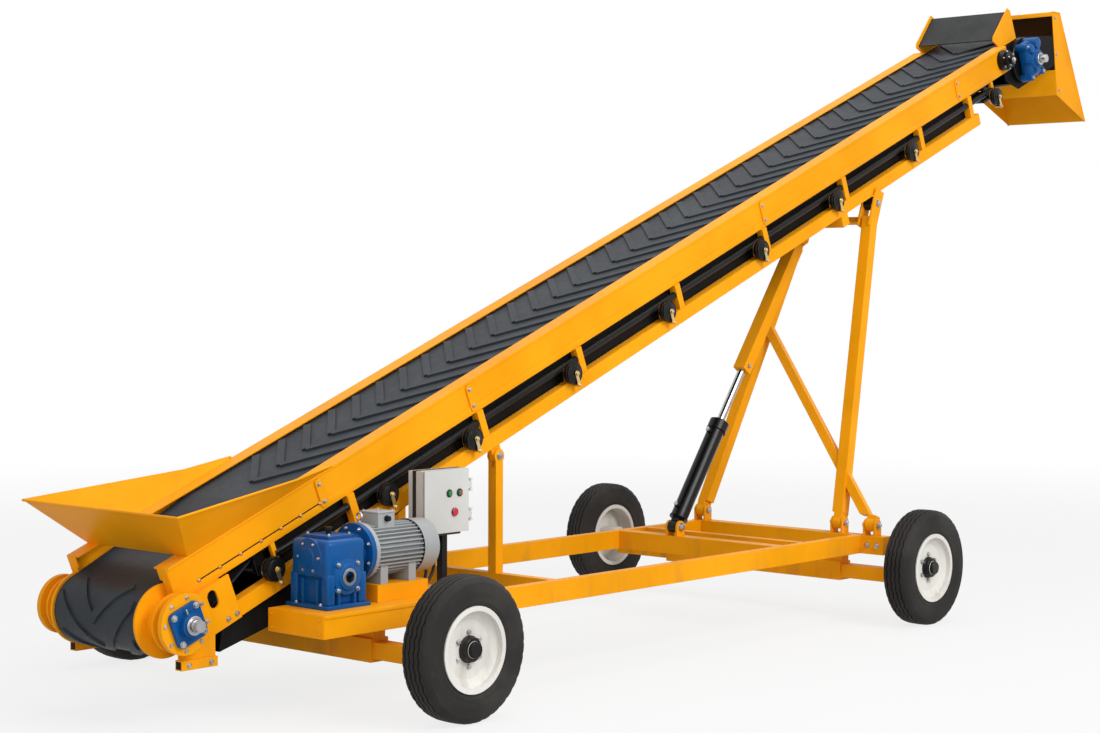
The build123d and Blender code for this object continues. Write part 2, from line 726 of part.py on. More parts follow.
# Lift beam across the lower rails with lugs and the pin that the ram's eye rides on
ram_eye_half_width = 38
ram_eye_radius = 58
ram_eye_play = 13
lift_pin_radius = 20
lift_lug_thickness = 15
lift_lug_radius = 45
lift_lug_gap = 7
lift_beam_bottom_n = lower_rail_bottom_n - lift_beam_size
lift_eye_n = lift_beam_bottom_n - lift_eye_drop
lift_lug_y = ram_eye_half_width + lift_lug_gap + lift_lug_thickness / 2
with BuildPart() as lift_beam:
    with BuildSketch(boom_side()):
        block((lift_beam_s - lift_beam_size / 2, lower_rail_bottom_n),
              (lift_beam_s + lift_beam_size / 2, lift_beam_bottom_n))
    extrude(amount=lower_rail_outer_y, both=True)
    for hand in SIDES.values():
        with BuildSketch(boom_side(hand * lift_lug_y)):
            with Locations((lift_beam_s, lift_eye_n)):
                Circle(lift_lug_radius)
            block((lift_beam_s - lift_lug_radius, lift_eye_n),
                  (lift_beam_s + lift_lug_radius, lift_beam_bottom_n))
        extrude(amount=lift_lug_thickness / 2, both=True)
    with BuildSketch(boom_side()):
        with Locations((lift_beam_s, lift_eye_n)):
            Circle(lift_pin_radius)
    extrude(amount=lift_lug_y + lift_lug_thickness / 2 + pin_overhang, both=True)
keep(lift_beam, "lift_beam")

# Axles: low box beams with pads under the chassis, stub boxes, uprights and wheel spindles
spindle_end_y = half_track + 30
axle_top_z = chassis_bottom_z - axle_drop
axle_middle_z = axle_top_z - axle_box / 2
pad_half_length = 40
AXLES = {"front": front_axle_x, "rear": rear_axle_x}
# Columns: lowest and highest Y of each pad
PADS = [(-axle_box_half_length, platform_inner_y), (far_rail_outer_y - rail_width, far_rail_outer_y)]
for name, axle_x in AXLES.items():
    with BuildPart() as axle:
        with BuildSketch(side_view()):
            with Locations((axle_x, axle_middle_z)):
                Rectangle(axle_box, axle_box)
        extrude(amount=axle_box_half_length, both=True)
        with BuildSketch(Plane.XY.offset(axle_top_z)):
            for low_y, high_y in PADS:
                block((axle_x - pad_half_length, low_y), (axle_x + pad_half_length, high_y))
        extrude(amount=axle_drop)
        with BuildSketch(side_view()):
            with Locations((axle_x, axle_middle_z)):
                Rectangle(stub_box, stub_box)
        extrude(amount=stub_end_y, both=True)
        for hand in SIDES.values():
            with BuildSketch(side_view(hand * (stub_end_y - upright_thickness / 2))):
                block((axle_x - stub_box / 2, axle_middle_z), (axle_x + stub_box / 2, axle_z + stub_box / 2))
            extrude(amount=upright_thickness / 2, both=True)
            with BuildSketch(side_view(hand * (stub_end_y + spindle_end_y) / 2)):
                with Locations((axle_x, axle_z)):
                    Circle(spindle_radius)
            extrude(amount=(spindle_end_y - stub_end_y) / 2, both=True)
    keep(axle, f"axle_{name}")

# Chassis rails: tubes on the axles, the near one from the drive platform to the rear beam
rear_beam_size = 100
rear_beam_tail_x = rear_beam_x - rear_beam_size / 2
near_rail_inner_y = near_rail_outer_y + rail_width
far_rail_inner_y = far_rail_outer_y - rail_width
far_rail_tail_x = front_axle_x - 60
RAILS = [(platform_head_x, near_rail_outer_y + rail_width / 2),
         (far_rail_tail_x, far_rail_outer_y - rail_width / 2)]
with BuildPart() as rails:
    for rail_start, rail_y in RAILS:
        with BuildSketch(Plane.YZ.offset(rail_start)):
            with Locations((rail_y, chassis_bottom_z + rail_height / 2)):
                Rectangle(rail_width, rail_height)
                Rectangle(rail_width - 2 * rail_wall, rail_height - 2 * rail_wall, mode=Mode.SUBTRACT)
        extrude(amount=rear_beam_tail_x - rail_start)
keep(rails, "chassis_rails")

# Crossmembers between the rails, under the front posts, the ram foot and just behind it
ram_member_width = 100
tie_member_x = ram_foot_x + 260
MEMBERS = [(post_x, post_size), (ram_foot_x, ram_member_width), (tie_member_x, rail_width)]
with BuildPart() as members:
    with BuildSketch(Plane.XY.offset(chassis_bottom_z)):
        for member_x, width in MEMBERS:
            block((member_x - width / 2, near_rail_inner_y), (member_x + width / 2, far_rail_inner_y))
    extrude(amount=rail_height)
keep(members, "chassis_crossmembers")

# Rear beam on the rear axle
with BuildPart() as rear_beam:
    with BuildSketch(Plane.XY.offset(chassis_bottom_z)):
        block((rear_beam_tail_x, rear_beam_near_y), (rear_beam_tail_x + rear_beam_size, rear_beam_far_y))
    extrude(amount=rail_height)
keep(rear_beam, "rear_beam")

# Drive platform: inverted channel from ahead of the front axle to the near rail
with BuildPart() as platform:
    with BuildSketch(Plane.YZ.offset(platform_tail_x)):
        block((near_rail_outer_y, chassis_bottom_z), (near_rail_outer_y + platform_width, rail_top_z))
        with Locations((near_rail_outer_y + platform_width / 2, chassis_bottom_z)):
            Rectangle(platform_width - 2 * platform_wall, rail_height - platform_wall,
                      align=(Align.CENTER, Align.MIN), mode=Mode.SUBTRACT)
    extrude(amount=platform_head_x - platform_tail_x)
keep(platform, "drive_platform")

# Front posts with forks and pins for the boom pivots
fork_cheek = 12
fork_radius = 40
fork_floor = 27
post_top_z = pivot_z - pivot_lug_radius - fork_floor
with BuildPart() as posts:
    for hand in SIDES.values():
        post_y = hand * lower_rail_y
        with BuildSketch(Plane.XY.offset(rail_top_z)):
            with Locations((post_x, post_y)):
                Rectangle(post_size, post_size)
        extrude(amount=post_top_z - rail_top_z)
        for cheek_hand in SIDES.values():
            with BuildSketch(side_view(post_y + cheek_hand * (post_size - fork_cheek) / 2)):
                with Locations((post_x, pivot_z)):
                    Circle(fork_radius)
                block((post_x - post_size / 2, post_top_z), (post_x + post_size / 2, pivot_z))
            extrude(amount=fork_cheek / 2, both=True)
        with BuildSketch(side_view(post_y)):
            with Locations((post_x, pivot_z)):
                Circle(pivot_pin_radius)
        extrude(amount=post_size / 2 + pin_overhang, both=True)
keep(posts, "front_posts")

# Ram foot clevis on its crossmember
ram_foot_z = rail_top_z + ram_foot_above_rail
ram_foot_pin_radius = 20
ram_foot_half_width = 30
clevis_gap = 5
clevis_thickness = 15
clevis_radius = 40
with BuildPart() as clevis:
    for hand in SIDES.values():
        with BuildSketch(side_view(hand * (ram_foot_half_width + clevis_gap + clevis_thickness / 2))):
            with Locations((ram_foot_x, ram_foot_z)):
                Circle(clevis_radius)
            block((ram_foot_x - clevis_radius, rail_top_z), (ram_foot_x + clevis_radius, ram_foot_z))
        extrude(amount=clevis_thickness / 2, both=True)
    with BuildSketch(side_view()):
        with Locations((ram_foot_x, ram_foot_z)):
            Circle(ram_foot_pin_radius)
    extrude(amount=ram_foot_half_width + clevis_gap + clevis_thickness + pin_overhang, both=True)
keep(clevis, "ram_clevis")

# Ram: barrel on the clevis, chrome rod, and a square extension with the eye for the lift beam's pin
lift_x, lift_z = boom_point(lift_beam_s, lift_eye_n)
ram_length = hypot(lift_x - ram_foot_x, lift_z - ram_foot_z)
ram_cos = (lift_x - ram_foot_x) / ram_length
ram_sin = (lift_z - ram_foot_z) / ram_length
barrel_start = 58
barrel_end = 0.345 * ram_length
barrel_radius = 58
barrel_bore = 48
barrel_floor = 20
collar_radius = 68
collar_length = 70
rod_radius = 27
rod_inner_end = 0.18 * ram_length
extension_start = 0.523 * ram_length
extension_size = 90
ram_foot_eye_radius = 42
ram_foot_neck = 58
ram_eye_neck = 70
ram_eye_back = 75
extension_end = ram_length - ram_eye_back


def ram_section(along):
    """Plane square to the ram at a distance from its foot pin, with Y across."""
    return Plane(origin=(ram_foot_x + along * ram_cos, 0, ram_foot_z + along * ram_sin),
                 x_dir=(0, 1, 0), z_dir=(ram_cos, 0, ram_sin))


def ram_side():
    """Side-view plane along the ram from its foot pin, facing the drive side."""
    return Plane(origin=(ram_foot_x, 0, ram_foot_z), x_dir=(ram_cos, 0, ram_sin), z_dir=(0, -1, 0))


with BuildPart() as barrel:
    with BuildSketch(ram_side()):
        Circle(ram_foot_eye_radius)
        block((0, -ram_foot_neck / 2), (barrel_start, ram_foot_neck / 2))
        Circle(ram_foot_pin_radius + running_clearance, mode=Mode.SUBTRACT)
    extrude(amount=ram_foot_half_width, both=True)
    with BuildSketch(ram_section(barrel_start)):
        Circle(barrel_radius)
    extrude(amount=barrel_end - barrel_start)
    with BuildSketch(ram_section(barrel_end - collar_length)):
        Circle(collar_radius)
    extrude(amount=collar_length)
    with BuildSketch(ram_section(barrel_start + barrel_floor)):
        Circle(barrel_bore)
    extrude(amount=barrel_end - collar_length - barrel_start - barrel_floor, mode=Mode.SUBTRACT)
    with BuildSketch(ram_section(barrel_end - collar_length)):
        Circle(rod_radius + running_clearance)
    extrude(amount=collar_length, mode=Mode.SUBTRACT)
keep(barrel, "ram_barrel")

with BuildPart() as rod:
    with BuildSketch(ram_section(rod_inner_end)):
        Circle(rod_radius)
    extrude(amount=extension_start - rod_inner_end)
keep(rod, "ram_rod")

with BuildPart() as extension:
    with BuildSketch(ram_section(extension_start)):
        Rectangle(extension_size, extension_size)
    extrude(amount=extension_end - extension_start)
    with BuildSketch(ram_side()):
        with Locations((ram_length, 0)):
            Circle(ram_eye_radius)
        block((extension_end, -ram_eye_neck / 2), (ram_length, ram_eye_neck / 2))
        with Locations((ram_length, 0)):
            Circle(lift_pin_radius + ram_eye_play, mode=Mode.SUBTRACT)
    extrude(amount=ram_eye_half_width, both=True)
keep(extension, "ram_extension")

# Support frame: two legs and a brace on pinned feet, with rollers under the lower rails
foot_z = rail_top_z + support_foot_above_rail
roller_n = lower_rail_bottom_n - support_roller_gap - support_roller_radius
roller_x, roller_z = boom_point(support_roller_s, roller_n)
frame_length = hypot(roller_x - rear_beam_x, roller_z - foot_z)
frame_cos = (roller_z - foot_z) / frame_length
frame_sin = (roller_x - rear_beam_x) / frame_length
foot_pin_radius = 18
foot_eye_radius = 44
foot_eye_half_width = 30
foot_start = 62
leg_top = frame_length - 112
keeper_thickness = 12
keeper_half_length = 50
keeper_low = leg_top - 70
keeper_over_rail = 40
roller_half_width = 34
roller_pin_radius = 16
frame_plane = Plane(origin=(rear_beam_x, 0, foot_z), x_dir=(0, 1, 0), z_dir=(frame_cos, 0, -frame_sin))


def frame_side(y):
    """Side-view plane along the support frame from its foot pins, at a given Y."""
    return Plane(origin=(rear_beam_x, y, foot_z), x_dir=(frame_sin, 0, frame_cos), z_dir=(0, -1, 0))


def leg_at(foot_y, top_y, along):
    """Y of a leg's centre line at a distance up the frame."""
    return foot_y + (top_y - foot_y) * along / frame_length


def leg_shape(foot_y, top_y, mode=Mode.ADD):
    """Add or cut one leg's outline in the current sketch of the frame's own plane."""
    half = leg_size / 2
    low_y = leg_at(foot_y, top_y, foot_start)
    high_y = leg_at(foot_y, top_y, leg_top)
    Polygon((low_y - half, foot_start), (low_y + half, foot_start), (high_y + half, leg_top),
            (high_y - half, leg_top), align=None, mode=mode)


def eye_shape(width):
    """Add the side view of a pinned foot eye to the current sketch."""
    Circle(foot_eye_radius)
    block((0, -width / 2), (foot_start, width / 2))
    Circle(foot_pin_radius + running_clearance, mode=Mode.SUBTRACT)


# Legs with keepers beside the rails. Columns: Y of the foot, of the leg's top and of its keepers
LEGS = {"near": (near_foot_y, -lower_rail_y, -lower_rail_y),
        "far": (far_foot_y, far_leg_top_y, lower_rail_y)}
outer_keeper_top = frame_length + support_roller_radius + support_roller_gap + keeper_over_rail
inner_keeper_top = frame_length + support_roller_radius / 2
beam_near_y = -lower_rail_y + leg_size / 2 + keeper_thickness
beam_low = leg_top - leg_size / 2
for side, (foot_y, top_y, keeper_y) in LEGS.items():
    hand = SIDES[side]
    with BuildPart() as leg:
        with BuildSketch(frame_plane):
            leg_shape(foot_y, top_y)
        extrude(amount=leg_size / 2, both=True)
        if side == "far":
            with BuildSketch(frame_plane):
                block((beam_near_y, beam_low), (lower_rail_y + leg_size / 2, leg_top))
            extrude(amount=top_beam_thickness / 2, both=True)
            with BuildSketch(frame_plane):
                block((keeper_y - leg_size / 2, keeper_low), (keeper_y + leg_size / 2, leg_top))
            extrude(amount=leg_size / 2, both=True)
        with BuildSketch(frame_side(foot_y)):
            eye_shape(leg_size)
        extrude(amount=foot_eye_half_width, both=True)
        for out, keeper_top in ((1, outer_keeper_top), (-1, inner_keeper_top)):
            with BuildSketch(frame_side(keeper_y + hand * out * (leg_size + keeper_thickness) / 2)):
                block((keeper_low, -keeper_half_length), (keeper_top, keeper_half_length))
            extrude(amount=keeper_thickness / 2, both=True)
        with BuildSketch(frame_side(keeper_y)):
            with Locations((frame_length, 0)):
                Circle(roller_pin_radius)
        extrude(amount=leg_size / 2 + keeper_thickness + pin_overhang, both=True)
    keep(leg, f"support_leg_{side}")

brace_top = 0.6 * frame_length
with BuildPart() as brace:
    with BuildSketch(frame_plane):
        bar((brace_foot_y, 0), (leg_at(far_foot_y, far_leg_top_y, brace_top), brace_top), brace_size)
        with Locations((brace_foot_y, 0)):
            Rectangle(4 * brace_size, 2 * foot_start, mode=Mode.SUBTRACT)
        for foot_y, top_y, keeper_y in LEGS.values():
            leg_shape(foot_y, top_y, mode=Mode.SUBTRACT)
    extrude(amount=brace_size / 2, both=True)
    with BuildSketch(frame_side(brace_foot_y)):
        eye_shape(brace_size)
    extrude(amount=foot_eye_half_width, both=True)
keep(brace, "support_brace")

with BuildPart() as rollers:
    for hand in SIDES.values():
        with BuildSketch(frame_side(hand * lower_rail_y)):
            with Locations((frame_length, 0)):
                Circle(support_roller_radius)
                Circle(roller_pin_radius + running_clearance, mode=Mode.SUBTRACT)
        extrude(amount=roller_half_width, both=True)
keep(rollers, "support_rollers")

# Foot brackets of the support frame on the rear beam
foot_cheek = 12
foot_cheek_radius = 40
foot_cheek_gap = 5
with BuildPart() as feet:
    for foot_y in (near_foot_y, far_foot_y, brace_foot_y):
        for hand in SIDES.values():
            cheek_y = foot_y + hand * (foot_eye_half_width + foot_cheek_gap + foot_cheek / 2)
            with BuildSketch(side_view(cheek_y)):
                with Locations((rear_beam_x, foot_z)):
                    Circle(foot_cheek_radius)
                block((rear_beam_x - foot_cheek_radius, rail_top_z),
                      (rear_beam_x + foot_cheek_radius, foot_z))
            extrude(amount=foot_cheek / 2, both=True)
        with BuildSketch(side_view(foot_y)):
            with Locations((rear_beam_x, foot_z)):
                Circle(foot_pin_radius)
        extrude(amount=foot_eye_half_width + foot_cheek_gap + foot_cheek + pin_overhang, both=True)
keep(feet, "support_feet")

# Wheels: tyre, dished rim with hub. Inner end of the hub stays clear of the axle stub
bead_half_width = 72
rim_flange_width = 8
rim_barrel_wall = 10
hub_clearance = 15
hub_inner = stub_end_inset - hub_clearance
hub_outer = 58
spindle_end_room = 10
hub_bore_end = spindle_end_y - half_track + spindle_end_room
dish_thickness = 8
dish_depth = 22
dish_radius = 150
weld_overlap = 1
dish_inner_radius = hub_radius - weld_overlap
hub_cap = 12
hub_cap_radius = 44
tread_half_width = 52
shoulder_drop = 12
shoulder_inset = 14
crown_drop = 3.5
crown_inset = 24
bead_over_flange = 4
WHEELS = {"front_near": (front_axle_x, -1), "front_far": (front_axle_x, 1),
          "rear_near": (rear_axle_x, -1), "rear_far": (rear_axle_x, 1)}
for name, (wheel_x, hand) in WHEELS.items():
    wheel_plane = Plane(origin=(wheel_x, hand * half_track, axle_z), x_dir=(0, hand, 0), z_dir=(hand, 0, 0))
    wheel_axis = Axis((wheel_x, hand * half_track, axle_z), (0, 1, 0))
    bead_top = rim_flange_radius + bead_over_flange
    shoulder = tyre_radius - shoulder_drop
    half = tyre_width / 2
    shoulder_y = half - shoulder_inset
    crown_y = half - crown_inset
    sidewall_z = (bead_top + shoulder) / 2
    with BuildPart() as tyre:
        with BuildSketch(wheel_plane):
            with BuildLine():
                Polyline((-bead_half_width, bead_top), (-bead_half_width, rim_seat_radius),
                         (bead_half_width, rim_seat_radius), (bead_half_width, bead_top))
                for way in (1, -1):
                    ThreePointArc((way * bead_half_width, bead_top), (way * half, sidewall_z),
                                  (way * shoulder_y, shoulder))
                    ThreePointArc((way * shoulder_y, shoulder), (way * crown_y, tyre_radius - crown_drop),
                                  (way * tread_half_width, tyre_radius))
                Line((tread_half_width, tyre_radius), (-tread_half_width, tyre_radius))
            make_face()
        revolve(axis=wheel_axis)
    keep(tyre, f"tyre_{name}")

    seat = rim_seat_radius - seat_gap
    flange_in = bead_half_width + seat_gap
    flange_out = flange_in + rim_flange_width
    barrel_in = seat - rim_barrel_wall
    with BuildPart() as rim:
        with BuildSketch(wheel_plane):
            block((-flange_out, barrel_in), (flange_out, seat))
            for edge in (-1, 1):
                block((edge * flange_in, barrel_in), (edge * flange_out, rim_flange_radius))
            with BuildLine():
                Polyline((dish_depth, dish_inner_radius), (dish_depth, dish_radius),
                         (2 * dish_depth, barrel_in + weld_overlap),
                         (2 * dish_depth + dish_thickness, barrel_in + weld_overlap),
                         (dish_depth + dish_thickness, dish_radius),
                         (dish_depth + dish_thickness, dish_inner_radius), close=True)
            make_face()
            block((-hub_inner, 0), (hub_outer, hub_radius))
            block((hub_outer, 0), (hub_outer + hub_cap, hub_cap_radius))
            with Locations((-hub_inner, 0)):
                Rectangle(hub_inner + hub_bore_end, spindle_radius + running_clearance,
                          align=(Align.MIN, Align.MIN), mode=Mode.SUBTRACT)
        revolve(axis=wheel_axis)
    keep(rim, f"rim_{name}")

# Drive gearbox on the platform: base, ribbed body, lid, output flanges along Y, end cover and motor neck
gearbox_x = front_axle_x - 265
gearbox_y = platform_inner_y - 160
gearbox_length = 270
gearbox_width = 300
gearbox_base = (304, 320, 20)
gearbox_height = 350
gearbox_corner = 28
gearbox_skin = 20
gearbox_lid = (170, 190, 18)
rib_width = 14
rib_spread = 0.36
output_z = rail_top_z + 160
output_flange = 170
output_boss_radius = 68
output_boss = 12
output_bore_radius = 35
motor_z = rail_top_z + 260
cover_radius = 80
cover_cap_radius = 46
neck_radius = 100
neck_length = 70
neck_flange_radius = 152
neck_flange = 34
gearbox_head_x = gearbox_x + gearbox_length / 2
gearbox_tail_x = gearbox_x - gearbox_length / 2
gearbox_foot_z = rail_top_z + gearbox_base[2]
with BuildPart() as gearbox:
    with BuildSketch(Plane.XY.offset(rail_top_z)):
        with Locations((gearbox_x, gearbox_y)):
            Rectangle(gearbox_base[0], gearbox_base[1])
    extrude(amount=gearbox_base[2])
    with BuildSketch(Plane.XY.offset(gearbox_foot_z)):
        with Locations((gearbox_x, gearbox_y)):
            RectangleRounded(gearbox_length - 2 * gearbox_skin, gearbox_width - 2 * gearbox_skin,
                             gearbox_corner)
            for way in SIDES.values():
                with Locations((way * rib_spread * gearbox_length, 0)):
                    Rectangle(rib_width, gearbox_width - gearbox_skin)
                with Locations((0, way * rib_spread * gearbox_width)):
                    Rectangle(gearbox_length - gearbox_skin, rib_width)
    extrude(amount=gearbox_height - gearbox_lid[2])
    with BuildSketch(Plane.XY.offset(gearbox_foot_z + gearbox_height - gearbox_lid[2])):
        with Locations((gearbox_x, gearbox_y)):
            RectangleRounded(gearbox_lid[0], gearbox_lid[1], gearbox_corner / 2)
    extrude(amount=gearbox_lid[2])
    with BuildSketch(side_view(gearbox_y)):
        with Locations((gearbox_x, output_z)):
            RectangleRounded(output_flange, output_flange, gearbox_corner)
    extrude(amount=gearbox_width / 2, both=True)
    with BuildSketch(side_view(gearbox_y)):
        with Locations((gearbox_x, output_z)):
            Circle(output_boss_radius)
    extrude(amount=gearbox_width / 2 + output_boss, both=True)
    for radius, end_x in ((cover_radius, gearbox_tail_x), (cover_cap_radius, gearbox_tail_x - output_boss)):
        with BuildSketch(Plane.YZ.offset(end_x)):
            with Locations((gearbox_y, motor_z)):
                Circle(radius)
        extrude(amount=gearbox_x - end_x)
    with BuildSketch(Plane.YZ.offset(gearbox_x)):
        with Locations((gearbox_y, motor_z)):
            Circle(neck_radius)
    extrude(amount=gearbox_length / 2 + neck_length)
    with BuildSketch(Plane.YZ.offset(gearbox_head_x + neck_length - neck_flange)):
        with Locations((gearbox_y, motor_z)):
            Circle(neck_flange_radius)
    extrude(amount=neck_flange)
    with BuildSketch(side_view(gearbox_y)):
        with Locations((gearbox_x, output_z)):
            Circle(output_bore_radius)
    extrude(amount=gearbox_width, both=True, mode=Mode.SUBTRACT)
keep(gearbox, "drive_gearbox")

# Motor along X: flange, finned body on two feet, fan cover and terminal box
motor_start_x = gearbox_head_x + neck_length
motor_flange_radius = 150
motor_flange = 26
motor_core_radius = 116
motor_fin_radius = 136
motor_fin_count = 36
motor_fin_width = 6
motor_body_length = 330
fan_cover_radius = 143
fan_cover_length = 112
terminal_box = (120, 130, 58)
terminal_box_x = 60
motor_foot = (54, 220)
motor_foot_inset = 36
plinth_top_z = rail_top_z + 90
body_start_x = motor_start_x + motor_flange
body_end_x = body_start_x + motor_body_length
# Columns: start X, radius, length
MOTOR_ROUNDS = [(motor_start_x, motor_flange_radius, motor_flange),
                (body_start_x, motor_core_radius, motor_body_length),
                (body_end_x, fan_cover_radius, fan_cover_length)]
with BuildPart() as motor:
    for start_x, radius, length in MOTOR_ROUNDS:
        with BuildSketch(Plane.YZ.offset(start_x)):
            with Locations((gearbox_y, motor_z)):
                Circle(radius)
        extrude(amount=length)
    with BuildSketch(Plane.YZ.offset(body_start_x)):
        with Locations((gearbox_y, motor_z)):
            Circle(motor_core_radius)
            with PolarLocations((motor_core_radius + motor_fin_radius) / 2, motor_fin_count):
                Rectangle(motor_fin_radius - motor_core_radius + motor_fin_width, motor_fin_width)
    extrude(amount=motor_body_length)
    with BuildSketch(Plane.XY.offset(motor_z)):
        with Locations((body_start_x + terminal_box_x + terminal_box[0] / 2, gearbox_y)):
            Rectangle(terminal_box[0], terminal_box[1])
    extrude(amount=motor_fin_radius + terminal_box[2])
    with BuildSketch(Plane.XY.offset(plinth_top_z)):
        for foot_x in (body_start_x + motor_foot_inset, body_end_x - motor_foot_inset - motor_foot[0]):
            with Locations((foot_x + motor_foot[0] / 2, gearbox_y)):
                Rectangle(motor_foot[0], motor_foot[1])
    extrude(amount=motor_z - motor_core_radius / 2 - plinth_top_z)
keep(motor, "drive_motor")

# Plinth under the motor
plinth_half_width = 125
plinth_overhang = 40
plinth_head_x = body_end_x + plinth_overhang
with BuildPart() as motor_base:
    with BuildSketch(Plane.XY.offset(rail_top_z)):
        block((body_start_x, gearbox_y - plinth_half_width), (plinth_head_x, gearbox_y + plinth_half_width))
    extrude(amount=plinth_top_z - rail_top_z)
keep(motor_base, "motor_base")

# Control box on a post, with hinge lugs and pins on its head side
box_tail_x = front_axle_x + 440
box_width = 345
box_depth = 110
box_back_y = platform_inner_y - 30
box_bottom_z = rail_top_z + 300
box_height = 345
box_wall = 4
box_front_y = box_back_y - box_depth
box_head_x = box_tail_x + box_width
hinge_offset = 12
hinge_x = box_head_x + hinge_offset
door_gap = 5
door_thickness = 12
hinge_y = box_front_y - door_thickness
hinge_pin_radius = 4
knuckle_radius = 9
knuckle_height = 40
lug_height = 10
lug_reach = 20
knuckle_inset = 70
KNUCKLES = [box_bottom_z + knuckle_inset, box_bottom_z + box_height - knuckle_inset - knuckle_height]
with BuildPart() as control_box:
    with BuildSketch(Plane.XY.offset(box_bottom_z)):
        block((box_tail_x, box_front_y), (box_head_x, box_back_y))
    extrude(amount=box_height)
    with BuildSketch(Plane.XY.offset(box_bottom_z + box_wall)):
        block((box_tail_x + box_wall, box_front_y - 1), (box_head_x - box_wall, box_back_y - box_wall))
    extrude(amount=box_height - 2 * box_wall, mode=Mode.SUBTRACT)
    for knuckle_z in KNUCKLES:
        for lug_z in (knuckle_z - door_gap - lug_height, knuckle_z + knuckle_height + door_gap):
            with BuildSketch(Plane.XY.offset(lug_z)):
                block((box_head_x, hinge_y - knuckle_radius),
                      (hinge_x + knuckle_radius, box_front_y + lug_reach))
            extrude(amount=lug_height)
        with BuildSketch(Plane.XY.offset(knuckle_z - door_gap - lug_height)):
            with Locations((hinge_x, hinge_y)):
                Circle(hinge_pin_radius)
        extrude(amount=knuckle_height + 2 * (door_gap + lug_height))
keep(control_box, "control_box")

control_post_size = 40
control_post_inset = 220
with BuildPart() as control_post:
    with BuildSketch(Plane.XY.offset(rail_top_z)):
        with Locations((box_tail_x + control_post_inset, box_back_y - control_post_size)):
            Rectangle(control_post_size, control_post_size)
    extrude(amount=box_bottom_z - rail_top_z)
keep(control_post, "control_post")

# Control door with hinge knuckles
door_inner_y = box_front_y - door_gap
door_outer_y = door_inner_y - door_thickness
with BuildPart() as door:
    with BuildSketch(Plane.XY.offset(box_bottom_z)):
        block((box_tail_x, door_outer_y), (box_head_x - door_gap, door_inner_y))
    extrude(amount=box_height)
    for knuckle_z in KNUCKLES:
        with BuildSketch(Plane.XY.offset(knuckle_z)):
            block((box_head_x - door_gap - lug_reach, door_outer_y), (hinge_x, door_inner_y))
            with Locations((hinge_x, hinge_y)):
                Circle(knuckle_radius)
                Circle(hinge_pin_radius + running_clearance, mode=Mode.SUBTRACT)
        extrude(amount=knuckle_height)
keep(door, "control_door")

# Push buttons on the door. Columns: from the door's tail edge, from its bottom, radius
BUTTONS = [(187, 216, 18), (267, 216, 18), (227, 112, 22)]
button_height = 14
with BuildPart() as buttons:
    for along, up, radius in BUTTONS:
        with BuildSketch(side_view(door_outer_y)):
            with Locations((box_tail_x + along, box_bottom_z + up)):
                Circle(radius)
        extrude(amount=button_height)
keep(buttons, "control_buttons")

# Cables from the box down to the platform. Columns: X of the drop, bend radius
cable_radius = 9
cable_inset = 35
cable_y = box_front_y + cable_inset
cable_end_x = plinth_head_x
CABLES = [(box_tail_x + 60, 90), (box_tail_x + 150, 130)]
with BuildPart() as cables:
    for row, (drop_x, bend) in enumerate(CABLES):
        lie_z = rail_top_z + cable_radius
        drop = side_view(cable_y + row * 3 * cable_radius)
        with BuildLine(drop) as cable_path:
            Line((drop_x, box_bottom_z), (drop_x, lie_z + bend))
            RadiusArc((drop_x, lie_z + bend), (drop_x - bend, lie_z), bend)
            Line((drop_x - bend, lie_z), (cable_end_x, lie_z))
        with BuildSketch(Plane(origin=cable_path.line @ 0, z_dir=cable_path.line % 0)):
            Circle(cable_radius)
        sweep(path=cable_path.line)
keep(cables, "control_cables")
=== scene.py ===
"""Looks of a mobile stacking conveyor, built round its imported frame, in metres."""

from __future__ import annotations

import json
import logging
import math
from dataclasses import dataclass
from enum import Enum
from typing import Any, ClassVar, Iterable, Sequence

import bmesh
import bpy
from mathutils import Matrix, Vector


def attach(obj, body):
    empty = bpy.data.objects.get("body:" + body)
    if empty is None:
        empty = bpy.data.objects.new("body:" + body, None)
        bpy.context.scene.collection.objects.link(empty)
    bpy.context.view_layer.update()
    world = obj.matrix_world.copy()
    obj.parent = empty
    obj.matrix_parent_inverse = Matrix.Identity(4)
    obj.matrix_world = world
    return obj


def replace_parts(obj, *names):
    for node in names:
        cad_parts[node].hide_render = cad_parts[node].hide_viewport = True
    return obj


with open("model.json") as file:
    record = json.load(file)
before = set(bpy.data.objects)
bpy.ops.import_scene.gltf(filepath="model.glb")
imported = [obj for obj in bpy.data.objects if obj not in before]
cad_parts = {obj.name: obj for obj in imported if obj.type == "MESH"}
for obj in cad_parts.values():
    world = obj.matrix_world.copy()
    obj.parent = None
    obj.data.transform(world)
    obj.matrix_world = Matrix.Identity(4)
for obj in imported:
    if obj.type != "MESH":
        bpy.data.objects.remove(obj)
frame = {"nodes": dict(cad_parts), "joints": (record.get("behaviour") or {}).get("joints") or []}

LOG = logging.getLogger("conveyor")
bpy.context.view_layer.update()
JOINTS = {joint["name"]: joint for joint in frame["joints"]}
NODES = frame["nodes"]
IMAGE_WIDTH = 1100

Pair = tuple[float, float]
Triple = tuple[float, float, float]
Outline = tuple[Pair, ...]

HEADWARD, TAILWARD = (1, 0, 0), (-1, 0, 0)
NEARWARD, FARWARD = (0, -1, 0), (0, 1, 0)
UPWARD, DOWNWARD = (0, 0, 1), (0, 0, -1)
CORNERS = ((-1, -1), (-1, 1), (1, -1), (1, 1))


class Side(Enum):
    """The two sides of the machine, as the sign of Y."""

    NEAR = -1
    FAR = 1


